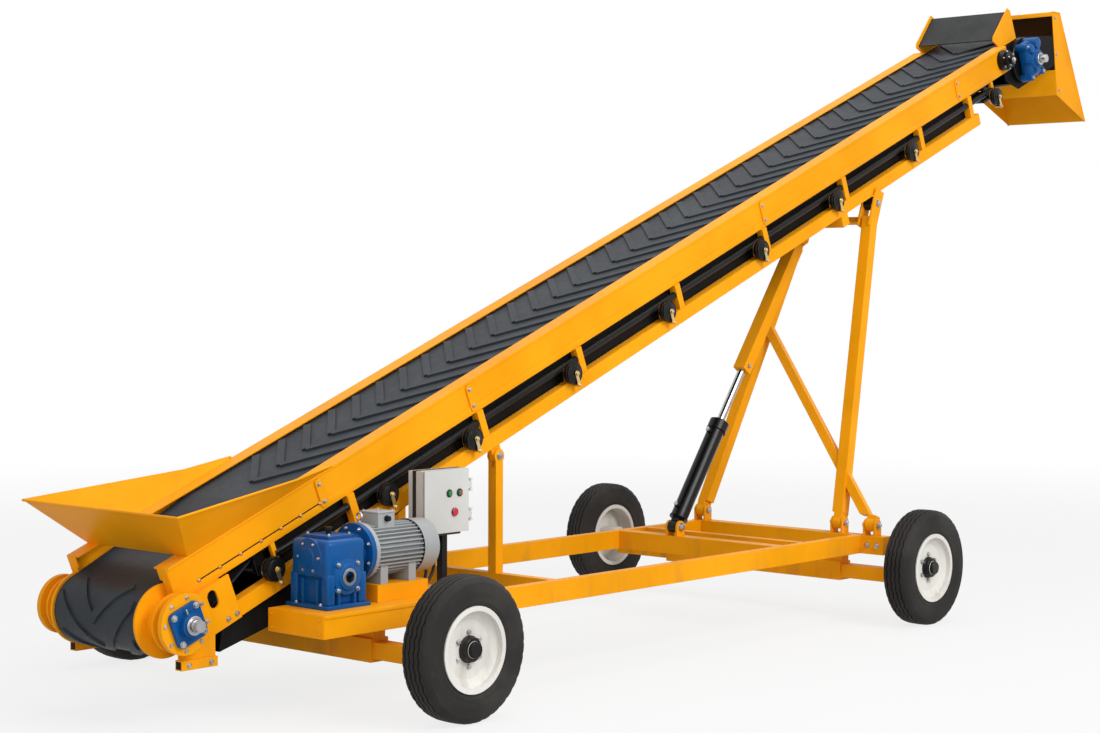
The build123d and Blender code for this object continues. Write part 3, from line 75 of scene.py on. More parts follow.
def place(origin: Sequence[float], facing: Sequence[float], across: Sequence[float] | None = None) -> Matrix:
    """Make the matrix of a local frame whose Z axis looks a given way.

    Args:
        origin: Where the local origin sits.
        facing: Direction of local Z.
        across: Rough direction of local X; any square one when left out.

    Returns:
        The 4 by 4 matrix from local to row frame.
    """
    z = Vector(facing).normalized()
    if across is None:
        across = HEADWARD if abs(z.x) < 0.9 else UPWARD
    y = z.cross(Vector(across)).normalized()
    x = y.cross(z)
    matrix = Matrix((x, y, z)).transposed().to_4x4()
    matrix.translation = Vector(origin)
    return matrix


def moved(at: Matrix, x: float = 0.0, y: float = 0.0, z: float = 0.0) -> Matrix:
    """Local frame moved along its own axes."""
    return at @ Matrix.Translation((x, y, z))


class Value:
    """A shader socket that takes part in Python arithmetic."""

    def __init__(self, graph: Graph, socket: Any) -> None:
        """Keep the graph that the socket belongs to."""
        self.graph = graph
        self.socket = socket

    def _math(self, operation: str, left: Any, right: Any) -> Value:
        """Add one Math node for two operands and return its result."""
        return self.graph.value("ShaderNodeMath", {"operation": operation}, {0: left, 1: right})

    def __add__(self, other: Any) -> Value:
        """Add a number or a value."""
        return self._math("ADD", self, other)

    __radd__ = __add__

    def __sub__(self, other: Any) -> Value:
        """Take a number or a value away."""
        return self._math("SUBTRACT", self, other)

    def __rsub__(self, other: Any) -> Value:
        """Take this value away from a number."""
        return self._math("SUBTRACT", other, self)

    def __mul__(self, other: Any) -> Value:
        """Multiply by a number or a value."""
        return self._math("MULTIPLY", self, other)

    __rmul__ = __mul__

    def between(self, low: float, high: float) -> Value:
        """Turn the stretch from low to high into a smooth 0 to 1."""
        return self.graph.value("ShaderNodeMapRange", {"interpolation_type": "SMOOTHSTEP"},
                                {"Value": self, "From Min": low, "From Max": high})


class Graph:
    """Builds the node tree of a material or a world."""

    def __init__(self, owner: bpy.types.Material | bpy.types.World) -> None:
        """Start from an empty tree.

        Args:
            owner: Material or world that gets the tree.
        """
        owner.use_nodes = True
        self.tree = owner.node_tree
        self.tree.nodes.clear()

    def node(self, kind: str, settings: dict[str, Any], inputs: dict[Any, Any]) -> bpy.types.Node:
        """Add one node.

        Args:
            kind: Node type.
            settings: Attributes set first.
            inputs: Socket name or number to a number, a colour or a Value.

        Returns:
            The new node.
        """
        made = self.tree.nodes.new(kind)
        for key, setting in settings.items():
            setattr(made, key, setting)
        for key, given in inputs.items():
            self.feed(made.inputs[key], given)
        return made

    def feed(self, socket: Any, given: Any) -> None:
        """Link a Value into a socket, or set the socket.

        Args:
            socket: Input socket.
            given: Value to link, or a number, a vector or a colour without alpha.
        """
        if isinstance(given, Value):
            self.tree.links.new(given.socket, socket)
        elif socket.type == "RGBA" and len(given) == 3:
            socket.default_value = (*given, 1.0)
        else:
            socket.default_value = given

    def value(self, kind: str, settings: dict[str, Any], inputs: dict[Any, Any], output: Any = 0) -> Value:
        """Add one node and wrap one of its outputs."""
        return Value(self, self.node(kind, settings, inputs).outputs[output])

    def coords(self, stretch: Sequence[float] = (1, 1, 1)) -> Value:
        """Object coordinates, stretched along each axis."""
        raw = self.value("ShaderNodeTexCoord", {}, {}, "Object")
        return self.value("ShaderNodeMapping", {}, {"Vector": raw, "Scale": tuple(stretch)})

    def noise(self, scale: float, detail: float, stretch: Sequence[float] = (1, 1, 1)) -> Value:
        """Cloudy noise from 0 to 1 with its middle at a half."""
        inputs = {"Vector": self.coords(stretch), "Scale": scale, "Detail": detail}
        return self.value("ShaderNodeTexNoise", {}, inputs, "Fac")

    def height(self) -> Value:
        """Height above the floor."""
        return self.value("ShaderNodeSeparateXYZ", {}, {0: self.coords()}, "Z")

    def upward(self) -> Value:
        """How far the surface looks up, from -1 to 1."""
        normal = self.value("ShaderNodeNewGeometry", {}, {}, "Normal")
        return self.value("ShaderNodeSeparateXYZ", {}, {0: normal}, "Z")

    def mix(self, low: Any, high: Any, factor: Any) -> Value:
        """Blend two colours."""
        return self.value("ShaderNodeMix", {"data_type": "RGBA"}, {0: factor, 6: low, 7: high}, 2)

    def bump(self, relief: Value, depth: float, strength: float, edge: float) -> Value:
        """Normal with relief, and with the edges of the mesh rounded.

        Args:
            relief: Height of the relief, from 0 to 1.
            depth: Depth of the relief.
            strength: Share of the relief that shows.
            edge: Radius of the rounded edges.

        Returns:
            The normal.
        """
        rounded = self.value("ShaderNodeBevel", {"samples": 4}, {"Radius": edge})
        return self.value("ShaderNodeBump", {}, {"Height": relief, "Distance": depth, "Strength": strength,
                                                 "Normal": rounded})


class Surface(Graph):
    """Builds the node tree of one new material round a principled shader."""

    def __init__(self, name: str) -> None:
        """Start with the shader and the output.

        Args:
            name: Name of the material.
        """
        self.material = bpy.data.materials.new(name)
        super().__init__(self.material)
        self.output = self.node("ShaderNodeOutputMaterial", {}, {})
        self.shader = self.node("ShaderNodeBsdfPrincipled", {}, {})
        self.feed(self.output.inputs["Surface"], Value(self, self.shader.outputs[0]))

    def dress(self, **sockets: Any) -> bpy.types.Material:
        """Set the shader's sockets.

        Args:
            sockets: What each socket gets, with _ in a name for a space.

        Returns:
            The material.
        """
        for key, given in sockets.items():
            self.feed(self.shader.inputs[key.replace("_", " ")], given)
        return self.material


@dataclass(frozen=True)
class Paint:
    """Sprayed paint with soft mottling, orange peel, dust on top and grime low down."""

    name: str
    slot: str
    colour: Triple
    roughness: float = 0.40
    specular: float = 0.25
    coat: float = 0.0
    dust: float = 0.10
    grime: float = 0.30
    edge: float = 0.003
    patch_scale: float = 1.7
    streak_scale: float = 7.0
    streak_stretch: Triple = (1.0, 1.0, 0.18)
    peel_scale: float = 190.0
    grime_height: Pair = (0.15, 0.75)
    dust_colour: Triple = (0.46, 0.40, 0.31)
    grime_colour: Triple = (0.11, 0.085, 0.055)

    def build(self) -> bpy.types.Material:
        """Build the material.

        Returns:
            The new material.
        """
        graph = Surface(self.name)
        patch = graph.noise(self.patch_scale, 4.0)
        streak = graph.noise(self.streak_scale, 3.0, self.streak_stretch)
        peel = graph.noise(self.peel_scale, 1.0)
        deep = tuple(c * 0.90 for c in self.colour)
        pale = tuple(min(1.0, c * 1.07 + 0.004) for c in self.colour)
        shade = graph.mix(deep, pale, patch.between(0.3, 0.7))
        settled = graph.upward().between(0.55, 0.95) * streak.between(0.35, 0.75) * self.dust
        near_floor = 1.0 - graph.height().between(*self.grime_height)
        low = near_floor * streak.between(0.50, 0.72) * self.grime
        shade = graph.mix(shade, self.dust_colour, settled)
        shade = graph.mix(shade, self.grime_colour, low)
        rough = self.roughness + (patch - 0.5) * 0.10 + settled * 0.5 + low * 0.35
        return graph.dress(Base_Color=shade, Roughness=rough, Specular_IOR_Level=self.specular,
                           Coat_Weight=self.coat, Coat_Roughness=0.12,
                           Normal=graph.bump(peel, 0.0006, 0.10, self.edge))


@dataclass(frozen=True)
class Rubber:
    """Moulded rubber with fine grain and a grey bloom."""

    name: str
    slot: str
    colour: Triple
    bloom: Triple
    roughness: float = 0.62
    specular: float = 0.3
    patch_scale: float = 3.2
    scuff_scale: float = 24.0
    grain_scale: float = 420.0
    bloom_share: float = 0.5
    scuff_share: float = 0.2
    edge: float = 0.002

    def build(self) -> bpy.types.Material:
        """Build the material.

        Returns:
            The new material.
        """
        graph = Surface(self.name)
        patch = graph.noise(self.patch_scale, 5.0)
        scuff = graph.noise(self.scuff_scale, 4.0)
        grain = graph.noise(self.grain_scale, 2.0)
        share = patch.between(0.35, 0.75) * self.bloom_share + scuff.between(0.55, 0.8) * self.scuff_share
        rough = self.roughness + (scuff - 0.5) * 0.22
        return graph.dress(Base_Color=graph.mix(self.colour, self.bloom, share), Roughness=rough,
                           Specular_IOR_Level=self.specular,
                           Normal=graph.bump(grain, 0.0008, 0.25, self.edge))


@dataclass(frozen=True)
class Metal:
    """Bare or plated metal with a fine grain."""

    name: str
    slot: str
    colour: Triple
    tint: Triple
    roughness: float = 0.34
    patch_scale: float = 14.0
    grain_scale: float = 300.0
    edge: float = 0.001

    def build(self) -> bpy.types.Material:
        """Build the material.

        Returns:
            The new material.
        """
        graph = Surface(self.name)
        patch = graph.noise(self.patch_scale, 4.0)
        grain = graph.noise(self.grain_scale, 2.0)
        rough = self.roughness + (patch - 0.5) * 0.16 + (grain - 0.5) * 0.08
        return graph.dress(Base_Color=graph.mix(self.colour, self.tint, patch.between(0.35, 0.7)),
                           Roughness=rough, Metallic=1.0, Normal=graph.bump(grain, 0.0003, 0.12, self.edge))


@dataclass(frozen=True)
class Plastic:
    """Moulded plastic with a fine matt grain."""

    name: str
    slot: str
    colour: Triple
    roughness: float = 0.30
    patch_scale: float = 18.0
    grain_scale: float = 700.0
    edge: float = 0.0012

    def build(self) -> bpy.types.Material:
        """Build the material.

        Returns:
            The new material.
        """
        graph = Surface(self.name)
        grain = graph.noise(self.grain_scale, 1.0)
        patch = graph.noise(self.patch_scale, 3.0)
        deep = tuple(c * 0.85 for c in self.colour)
        return graph.dress(Base_Color=graph.mix(deep, self.colour, patch.between(0.3, 0.7)),
                           Roughness=self.roughness + (patch - 0.5) * 0.12,
                           Normal=graph.bump(grain, 0.0002, 0.10, self.edge))


class Shop:
    """All finishes of the machine, each built once and kept by its key."""

    FINISHES: ClassVar[dict[str, Paint | Rubber | Metal | Plastic]] = {
        "yellow": Paint("amber_machine_paint", "paint_yellow", (0.90, 0.355, 0.002), specular=0.07),
        "blue": Paint("blue_housing_paint", "drive_blue", (0.001, 0.078, 0.275), roughness=0.30,
                      specular=0.15, coat=0.05, dust=0.05),
        "white": Paint("off_white_wheel_paint", "rim_white", (0.72, 0.70, 0.655), grime=0.40),
        "grey": Paint("grey_motor_paint", "motor_grey", (0.36, 0.375, 0.38)),
        "panel": Paint("grey_panel_coat", "panel_grey", (0.60, 0.605, 0.585), roughness=0.42),
        "black": Paint("black_part_paint", "roller_black", (0.005, 0.005, 0.005), roughness=0.26,
                       specular=0.16, dust=0.03),
        "ram": Paint("black_cylinder_paint", "ram_black", (0.004, 0.004, 0.004), roughness=0.22,
                     specular=0.22, dust=0.02),
        # pan: flat black used as painted shade: on the guard pan and sheets filling the boom's gaps, the head
        # side plates, a seam line, tube ends and a bore
        "pan": Paint("black_guard_paint", "roller_black", (0.004, 0.004, 0.004), roughness=0.60,
                     specular=0.1, dust=0.0),
        "belt": Rubber("slate_belt_rubber", "belt_rubber", (0.020, 0.024, 0.030), (0.038, 0.045, 0.053),
                       roughness=0.55, specular=0.2),
        "tyre": Rubber("charcoal_tyre_rubber", "tyre_rubber", (0.018, 0.0165, 0.0155),
                       (0.060, 0.054, 0.049), roughness=0.72, specular=0.2),
        "flap": Rubber("black_flap_rubber", "belt_rubber", (0.016, 0.018, 0.018), (0.050, 0.052, 0.048),
                       roughness=0.68),
        # dark brown sheet for inside the hood: painted shade of the hood's interior
        "hood_shade_sheet": Rubber("brown_hood_lining", "belt_rubber", (0.045, 0.018, 0.004), (0.065, 0.028, 0.008),
                         roughness=0.75, specular=0.1),
        "cable": Rubber("black_cable_sheath", "cable_black", (0.010, 0.010, 0.010), (0.030, 0.030, 0.030),
                        roughness=0.5, grain_scale=600.0),
        "chrome": Metal("chrome_ram_rod", "rod_chrome", (0.50, 0.51, 0.53), (0.40, 0.41, 0.43),
                        roughness=0.16),
        "steel": Metal("plain_bolt_steel", "rod_chrome", (0.55, 0.55, 0.56), (0.38, 0.38, 0.39)),
        "zinc": Metal("yellow_zinc_plate", "rod_chrome", (0.72, 0.52, 0.18), (0.58, 0.48, 0.30)),
        "gasket": Plastic("black_gasket", "cable_black", (0.012, 0.012, 0.013), roughness=0.6),
        "green": Plastic("green_button_cap", "button_plastic", (0.01, 0.22, 0.07)),
        "red": Plastic("red_button_cap", "button_plastic", (0.55, 0.012, 0.02)),
    }

    def __init__(self) -> None:
        """Build every finish."""
        self.materials = {key: finish.build() for key, finish in self.FINISHES.items()}

    def paint_node(self, node: str, key: str) -> None:
        """Give one CAD node a finish.

        Args:
            node: Name of the CAD node.
            key: Key of the finish.
        """
        for slot in NODES[node].material_slots:
            slot.material = self.materials[key]
        LOG.info("node %s takes %s", node, key)


class Shaper:
    """Builds one mesh piece from bmesh operators and hands it over as a finished object."""

    BEVEL_SEGMENTS: ClassVar[int] = 3
    BEVEL_ANGLE: ClassVar[float] = math.radians(40)
    MERGE_DISTANCE: ClassVar[float] = 1e-6

    def __init__(self) -> None:
        """Start with an empty mesh."""
        self.bm = bmesh.new()

    def settle(self, verts: Iterable[Any], at: Matrix, soft: float = 0.0) -> None:
        """Move new vertices from their local frame to the row frame and soften their sharp edges.

        Args:
            verts: The new vertices.
            at: Local frame.
            soft: Width of the edge bevels; 0 leaves the edges sharp.
        """
        kept = set(verts)
        bmesh.ops.transform(self.bm, matrix=at, verts=list(kept))
        if soft > 0:
            edges = {e for v in kept for e in v.link_edges if e.other_vert(v) in kept}
            sharp = [e for e in edges if len(e.link_faces) == 2 and e.calc_face_angle() > self.BEVEL_ANGLE]
            bmesh.ops.bevel(self.bm, geom=sharp, offset=soft, offset_type="OFFSET", affect="EDGES",
                            segments=self.BEVEL_SEGMENTS, profile=0.5, material=-1, clamp_overlap=True)

    def box(self, at: Matrix, size: Sequence[float], soft: float = 0.0) -> None:
        """Add a box that stands on the local XY plane.

        Args:
            at: Local frame.
            size: Length along local X, Y and Z.
            soft: Width of the edge bevels.
        """
        verts = bmesh.ops.create_cube(self.bm, size=1.0)["verts"]
        bmesh.ops.translate(self.bm, vec=(0, 0, 0.5), verts=verts)
        bmesh.ops.scale(self.bm, vec=Vector(size), verts=verts)
        self.settle(verts, at, soft)

    def rod(self, at: Matrix, radius: float, length: float, steps: int = 32, top: float | None = None,
            soft: float = 0.0) -> None:
        """Add a cylinder or cone that stands on the local XY plane.

        Args:
            at: Local frame.
            radius: Radius at the foot.
            length: Length along local Z.
            steps: Sides of its circle.
            top: Radius at the far end, if it differs.
            soft: Width of the edge bevels.
        """
        verts = bmesh.ops.create_cone(self.bm, cap_ends=True, cap_tris=False, segments=steps, radius1=radius,
                                      radius2=radius if top is None else top, depth=length)["verts"]
        bmesh.ops.translate(self.bm, vec=(0, 0, length / 2), verts=verts)
        self.settle(verts, at, soft)

    def bolt(self, at: Matrix, size: float) -> None:
        """Add a washer, a hexagon head and a domed end.

        Args:
            at: Local frame on the bolted face.
            size: Diameter of the thread, from which the rest follows.
        """
        washer, head = size * 0.18, size * 0.68
        self.rod(at, size * 1.10, washer, 20)
        self.rod(moved(at, z=washer), size * 0.92, head, 6, soft=size * 0.07)
        self.rod(moved(at, z=washer + head), size * 0.5, size * 0.3, 14, size * 0.42)

    def four_bolts(self, at: Matrix, x: float, y: float, size: float) -> None:
        """Add a bolt at each corner of a local rectangle, given by its half sides."""
        for a, b in CORNERS:
            self.bolt(moved(at, a * x, b * y), size)

    def bolt_ring(self, at: Matrix, circle: float, count: int, size: float) -> None:
        """Add bolts evenly round a circle of a local XY plane, the first half a step on.

        Args:
            at: Local frame in the circle's middle.
            circle: Radius of the circle.
            count: Number of bolts.
            size: Diameter of the thread.
        """
        for step in range(count):
            turn = math.tau * (step + 0.5) / count
            self.bolt(moved(at, circle * math.cos(turn), circle * math.sin(turn)), size)

    def pipe(self, path: Sequence[Vector], radius: float, steps: int) -> None:
        """Run a round edge along a path, with a ball at each corner.

        Args:
            path: Corners of the path.
            radius: Radius of the edge.
            steps: Sides of its circle.
        """
        for start, end in zip(path, path[1:]):
            self.bar(start, end, radius, steps)
        for corner in path:
            self.ball(corner, radius)

    def bar(self, start: Vector, end: Vector, radius: float, steps: int) -> None:
        """Add a round bar between two points."""
        self.rod(place(start, end - start), radius, (end - start).length, steps)

    def ball(self, centre: Vector, radius: float) -> None:
        """Add a small ball."""
        bmesh.ops.create_uvsphere(self.bm, u_segments=12, v_segments=8, radius=radius,
                                  matrix=Matrix.Translation(centre))

    def hoop(self, at: Matrix, radius: float, thick: float) -> None:
        """Add a round ring, such as an eye, about the local Z axis."""
        turns = [math.tau * step / 10 for step in range(10)]
        self.turn(at, [(radius + thick * math.cos(a), thick * math.sin(a)) for a in turns], 24)

    def sleeve(self, at: Matrix, inner: float, outer: float, length: float, soft: float = 0.0,
               steps: int = 40) -> None:
        """Add a flat ring or sleeve that stands on the local XY plane, its outer edge cut by soft."""
        self.boss(at, ((outer, 0.0), (outer, length - soft), (outer - soft, length)), steps, inner)

    def boss(self, at: Matrix, outline: Outline, steps: int, bore: float = 0.0) -> None:
        """Add a turned boss, solid or bored through.

        Args:
            at: Local frame whose Z axis is the axis of turning.
            outline: Radius and height of each outer point, in order.
            steps: Steps of the full turn.
            bore: Radius of the bore; 0 for a solid boss.
        """
        (_, foot), (last, top) = outline[0], outline[-1]
        end = ((bore, top),) if last > bore else ()
        self.turn(at, ((bore, foot), *outline, *end), steps, bore > 0)

    def turn(self, at: Matrix, outline: Sequence[Pair], steps: int, closed: bool = True) -> list[Any]:
        """Add a turned shape.

        Args:
            at: Local frame whose Z axis is the axis of turning.
            outline: Radius and height of each point of the half section, in order.
            steps: Steps of the full turn.
            closed: Whether the last point joins the first.

        Returns:
            The new vertices.
        """
        before = set(self.bm.verts)
        verts = [self.bm.verts.new((radius, 0, height)) for radius, height in outline]
        pairs = zip(verts, verts[1:] + verts[:1] if closed else verts[1:])
        edges = [self.bm.edges.new(pair) for pair in pairs]
        bmesh.ops.spin(self.bm, geom=verts + edges, cent=(0, 0, 0), axis=UPWARD, angle=math.tau, steps=steps,
                       use_merge=True)
        made = [v for v in self.bm.verts if v not in before]
        bmesh.ops.remove_doubles(self.bm, verts=made, dist=self.MERGE_DISTANCE)
        made = [v for v in self.bm.verts if v not in before]
        self.settle(made, at)
        return made

    def hand_over(self, name: str, body: str, shop: Shop, key: str,
                  smooth_angle: float = 35.0) -> bpy.types.Object:
        """Make the object, let it ride on its body and free the working mesh.

        Args:
            name: Name of the piece.
            body: CAD body that it rides on.
            shop: Where its finish comes from.
            key: Key of the finish.
            smooth_angle: Edges sharper than this stay sharp, in degrees.

        Returns:
            The finished object.
        """
        bmesh.ops.recalc_face_normals(self.bm, faces=self.bm.faces)
        mesh = bpy.data.meshes.new(name)
        self.bm.to_mesh(mesh)
        self.bm.free()
        mesh.shade_smooth()
        mesh.set_sharp_from_angle(angle=math.radians(smooth_angle))
        mesh.materials.append(shop.materials[key])
        piece = bpy.data.objects.new(name, mesh)
        bpy.context.scene.collection.objects.link(piece)
        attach(piece, body)
        LOG.info("piece %s rides on %s, %d faces", name, body, len(mesh.polygons))
        return piece


@dataclass
class BoomLine:
    """The boom's own coordinates: s along it from above the front axle, n square to it, y across."""

    angle_deg: float = 22.0
    zero_z: float = 1.254

    def __post_init__(self) -> None:
        """Find the front axle and the two directions."""
        self.front_x = JOINTS["wheel_front_near_spin"]["pos_m"][0]
        turn = math.radians(self.angle_deg)
        self.along = Vector((math.cos(turn), 0, math.sin(turn)))
        self.up = Vector((-math.sin(turn), 0, math.cos(turn)))

    def point(self, s: float, n: float, y: float = 0.0) -> Vector:
        """Point of the row frame at boom coordinates."""
        return Vector((self.front_x, y, self.zero_z)) + self.along * s + self.up * n

    def outward(self, s: float, n: float, y: float) -> Matrix:
        """Local frame on a side face, Z away from the middle, X along the boom."""
        return place(self.point(s, n, y), (0, math.copysign(1, y), 0), self.along)


@dataclass(frozen=True)
class Lamp:
    """One large soft lamp."""

    name: str
    where: Triple
    aim: Triple
    size: float
    watts: float

    def hang(self) -> None:
        """Hang the lamp so that it looks at its aim."""
        data = bpy.data.lights.new(self.name, "AREA")
        data.size = self.size
        data.energy = self.watts
        lamp = bpy.data.objects.new(self.name, data)
        lamp.matrix_world = place(self.where, Vector(self.where) - Vector(self.aim))
        bpy.context.scene.collection.objects.link(lamp)


@dataclass
class Studio:
    """Camera, floor and light."""

    eye: Triple = (-7.6769, -8.7781, 2.1875)
    yaw_deg: float = 41.731
    pitch_deg: float = -1.889
    roll_deg: float = 0.210
    focal_px: float = 2130.0
    rise_px: float = -7.75
    sensor: float = 36.0
    clip_end: float = 200.0
    floor_size: float = 90.0
    floor_greys: Pair = (0.60, 0.63)
    near_white: float = 0.80
    white_reach: Pair = (5.0, 15.0)
    sky_strength: float = 0.50
    lamps: tuple[Lamp, ...] = (Lamp("key", (-1.5, -11.0, 9.0), (-0.5, 0.0, 1.4), 7.0, 1150.0),
                               Lamp("fill", (-11.0, -5.0, 5.0), (-2.0, 0.0, 1.0), 8.0, 260.0),
                               Lamp("top", (1.0, 1.0, 11.0), (0.0, 0.0, 1.0), 8.0, 380.0))
    WHITE: ClassVar[Triple] = (1.0, 1.0, 1.0)
    SEEING_RAYS: ClassVar[tuple[str, ...]] = ("Is Camera Ray", "Is Glossy Ray", "Is Transmission Ray")

    def camera(self, front_x: float) -> None:
        """Set the camera at the photograph's view.

        Args:
            front_x: X of the front axle, from which the eye is measured.
        """
        yaw, pitch, roll = (math.radians(a) for a in (self.yaw_deg, self.pitch_deg, self.roll_deg))
        level = math.cos(pitch)
        gaze = Vector((level * math.cos(yaw), level * math.sin(yaw), math.sin(pitch)))
        right = gaze.cross(Vector(UPWARD)).normalized()
        up = right.cross(gaze)
        tilted = right * math.cos(roll) + up * math.sin(roll)
        top = up * math.cos(roll) - right * math.sin(roll)
        data = bpy.data.cameras.new("camera")
        data.sensor_width = self.sensor
        data.lens = self.focal_px * self.sensor / IMAGE_WIDTH
        data.shift_y = self.rise_px / IMAGE_WIDTH
        data.clip_end = self.clip_end
        camera = bpy.data.objects.new("camera", data)
        camera.matrix_world = Matrix((tilted, top, -gaze)).transposed().to_4x4()
        camera.location = Vector(self.eye) + Vector((front_x, 0, 0))
        bpy.context.scene.collection.objects.link(camera)
        bpy.context.scene.camera = camera

    def seeing(self, graph: Graph) -> Value:
        """Find the rays that show the background as it is.

        Args:
            graph: Tree that asks.

        Returns:
            1 for the eye's own rays and for mirrored and clear ones, otherwise 0.
        """
        paths = graph.node("ShaderNodeLightPath", {}, {})
        camera, glossy, clear = (Value(graph, paths.outputs[name]) for name in self.SEEING_RAYS)
        return camera + glossy + clear

    def floor(self) -> None:
        """Lay the pale floor: white to the eye far off, and soft in the machine's shadow."""
        bm = bmesh.new()
        bmesh.ops.create_grid(bm, x_segments=1, y_segments=1, size=self.floor_size / 2)
        mesh = bpy.data.meshes.new("floor")
        bm.to_mesh(mesh)
        bm.free()
        floor = bpy.data.objects.new("floor", mesh)
        bpy.context.scene.collection.objects.link(floor)
        graph = Surface("pale_floor")
        low, high = ((grey, grey, grey) for grey in self.floor_greys)
        graph.dress(Base_Color=graph.mix(low, high, graph.noise(0.6, 2.0)), Roughness=0.9,
                    Specular_IOR_Level=0.0)
        reach = graph.value("ShaderNodeVectorMath", {"operation": "LENGTH"}, {0: graph.coords()}, "Value")
        far = reach.between(*self.white_reach)
        share = self.seeing(graph) * (self.near_white + far * (1.0 - self.near_white))
        plain = Value(graph, graph.shader.outputs[0])
        glow = graph.value("ShaderNodeEmission", {}, {"Color": self.WHITE, "Strength": 1.0})
        blend = graph.value("ShaderNodeMixShader", {}, {0: share, 1: plain, 2: glow})
        graph.feed(graph.output.inputs["Surface"], blend)
        mesh.materials.append(graph.material)

    def sky(self) -> None:
        """Surround the machine with an even sky that is plain white to the eye."""
        world = bpy.data.worlds.new("studio")
        bpy.context.scene.world = world
        graph = Graph(world)
        strength = graph.value("ShaderNodeMapRange", {}, {"Value": self.seeing(graph),
                                                          "To Min": self.sky_strength, "To Max": 1.0})
        sky = graph.value("ShaderNodeBackground", {}, {"Color": self.WHITE, "Strength": strength})
        graph.node("ShaderNodeOutputWorld", {}, {"Surface": sky})

    def build(self, front_x: float) -> None:
        """Set up camera, floor, sky and lamps, with the plain view.

        Args:
            front_x: X of the front axle.
        """
        self.camera(front_x)
        self.floor()
        self.sky()
        for lamp in self.lamps:
            lamp.hang()
        bpy.context.scene.view_settings.view_transform = "Standard"


@dataclass
class RoadWheels:
    """Four road wheels: grooved tyres, wheel nuts and black stepped hubs."""

    shop: Shop
    tyre_radius: float = 0.375
    bead_radius: float = 0.2075
    bead_half: float = 0.072
    wall: Outline = ((0.226, 0.0), (0.240, 0.0085), (0.246, 0.0125), (0.252, 0.0135), (0.257, 0.0125),
                     (0.276, 0.0185), (0.300, 0.0200), (0.325, 0.0185), (0.336, 0.0165), (0.341, 0.0170),
                     (0.349, 0.0130), (0.3625, 0.0045), (0.3705, -0.0055))
    crown_drop: float = 0.0022
    crown_half: float = 0.06
    grooves: tuple[float, ...] = (0.046, 0.0155, -0.0155, -0.046)
    groove_depth: float = 0.011
    groove_half: float = 0.0048
    groove_foot: float = 0.6
    tread_radius: float = 0.3596
    tread_half: float = 0.055
    waves: int = 36
    wave_depth: float = 0.0042
    shoulder_radius: float = 0.3571
    notch_depth: float = 0.0035
    dish_face: float = 0.030
    hub_outline: Outline = ((0.070, 0.0), (0.070, 0.008), (0.064, 0.014), (0.062, 0.032), (0.058, 0.0355),
                            (0.043, 0.037), (0.041, 0.057), (0.037, 0.061))
    nut_circle: float = 0.087
    nut_count: int = 6
    nut_size: float = 0.0135

    def tyre_outline(self) -> list[Pair]:
        """Half section of the tyre.

        Returns:
            Radius and height along the axle of each point.
        """
        outer = [(self.bead_radius, self.bead_half)]
        outer += [(radius, self.bead_half + bulge) for radius, bulge in self.wall]
        inner = [(radius, -height) for radius, height in reversed(outer)]
        foot, deep = self.groove_half * self.groove_foot, self.groove_depth
        profile = ((self.groove_half, 0.0), (foot, deep), (-foot, deep), (-self.groove_half, 0.0))
        tread = []
        for centre in self.grooves:
            for step, depth in profile:
                crown = self.crown_drop * ((centre + step) / self.crown_half) ** 2
                tread.append((self.tyre_radius - crown - depth, centre + step))
        return outer + tread + inner

    def tyre(self, name: str, at: Matrix) -> None:
        """Build one tyre with wavy grooves and notched shoulders, in place of its CAD node.

        Args:
            name: Which wheel.
            at: Local frame in the wheel's middle, Z outwards along the axle.
        """
        shaper = Shaper()
        made = shaper.turn(Matrix.Identity(4), self.tyre_outline(), 4 * self.waves)
        for vert in made:
            angle = math.atan2(vert.co.y, vert.co.x)
            radius = vert.co.xy.length
            if radius > self.tread_radius and abs(vert.co.z) < self.tread_half:
                vert.co.z += self.wave_depth * math.sin(angle * self.waves)
            elif radius > self.shoulder_radius and round(angle * 2 * self.waves / math.pi) % 4 == 0:
                vert.co.xy *= 1 - self.notch_depth / self.tyre_radius
        shaper.settle(made, at)
        piece = shaper.hand_over(f"tyre_look_{name}", f"wheel_{name}", self.shop, "tyre", 30.0)
        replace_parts(piece, f"tyre_{name}")

    def hub(self, name: str, at: Matrix) -> None:
        """Build the black stepped hub and its ring of nuts.

        Args:
            name: Which wheel.
            at: Local frame in the wheel's middle, Z outwards along the axle.
        """
        hub, nuts = Shaper(), Shaper()
        face = moved(at, z=self.dish_face)
        hub.boss(face, self.hub_outline, 48)
        nuts.bolt_ring(face, self.nut_circle, self.nut_count, self.nut_size)
        hub.hand_over(f"hub_{name}", f"wheel_{name}", self.shop, "black")
        nuts.hand_over(f"wheel_nuts_{name}", f"wheel_{name}", self.shop, "steel")

    def build(self) -> None:
        """Build all four wheels."""
        for end in ("front", "rear"):
            for side in Side:
                name = f"{end}_{side.name.lower()}"
                at = place(JOINTS[f"wheel_{name}_spin"]["pos_m"], (0, side.value, 0), HEADWARD)
                self.tyre(name, at)
                self.hub(name, at)
                self.shop.paint_node(f"rim_{name}", "white")


@dataclass
class Dress:
    """What every set of dressing pieces needs: the finishes, the boom's coordinates and its own body."""

    shop: Shop
    boom: BoomLine
    BODY: ClassVar[str] = "boom"

    def spot(self, x: float, y: float, z: float) -> Vector:
        """Point at a distance along X from the front axle."""
        return Vector((self.boom.front_x + x, y, z))

    def face(self, x: float, y: float, z: float, facing: Sequence[float],
             across: Sequence[float] | None = None) -> Matrix:
        """Local frame at such a point, Z looking a given way."""
        return place(self.spot(x, y, z), facing, across)

    def finish(self, shaper: Shaper, name: str, key: str, smooth_angle: float = 35.0) -> bpy.types.Object:
        """Hand a piece over on this set's own body."""
        return shaper.hand_over(name, self.BODY, self.shop, key, smooth_angle)


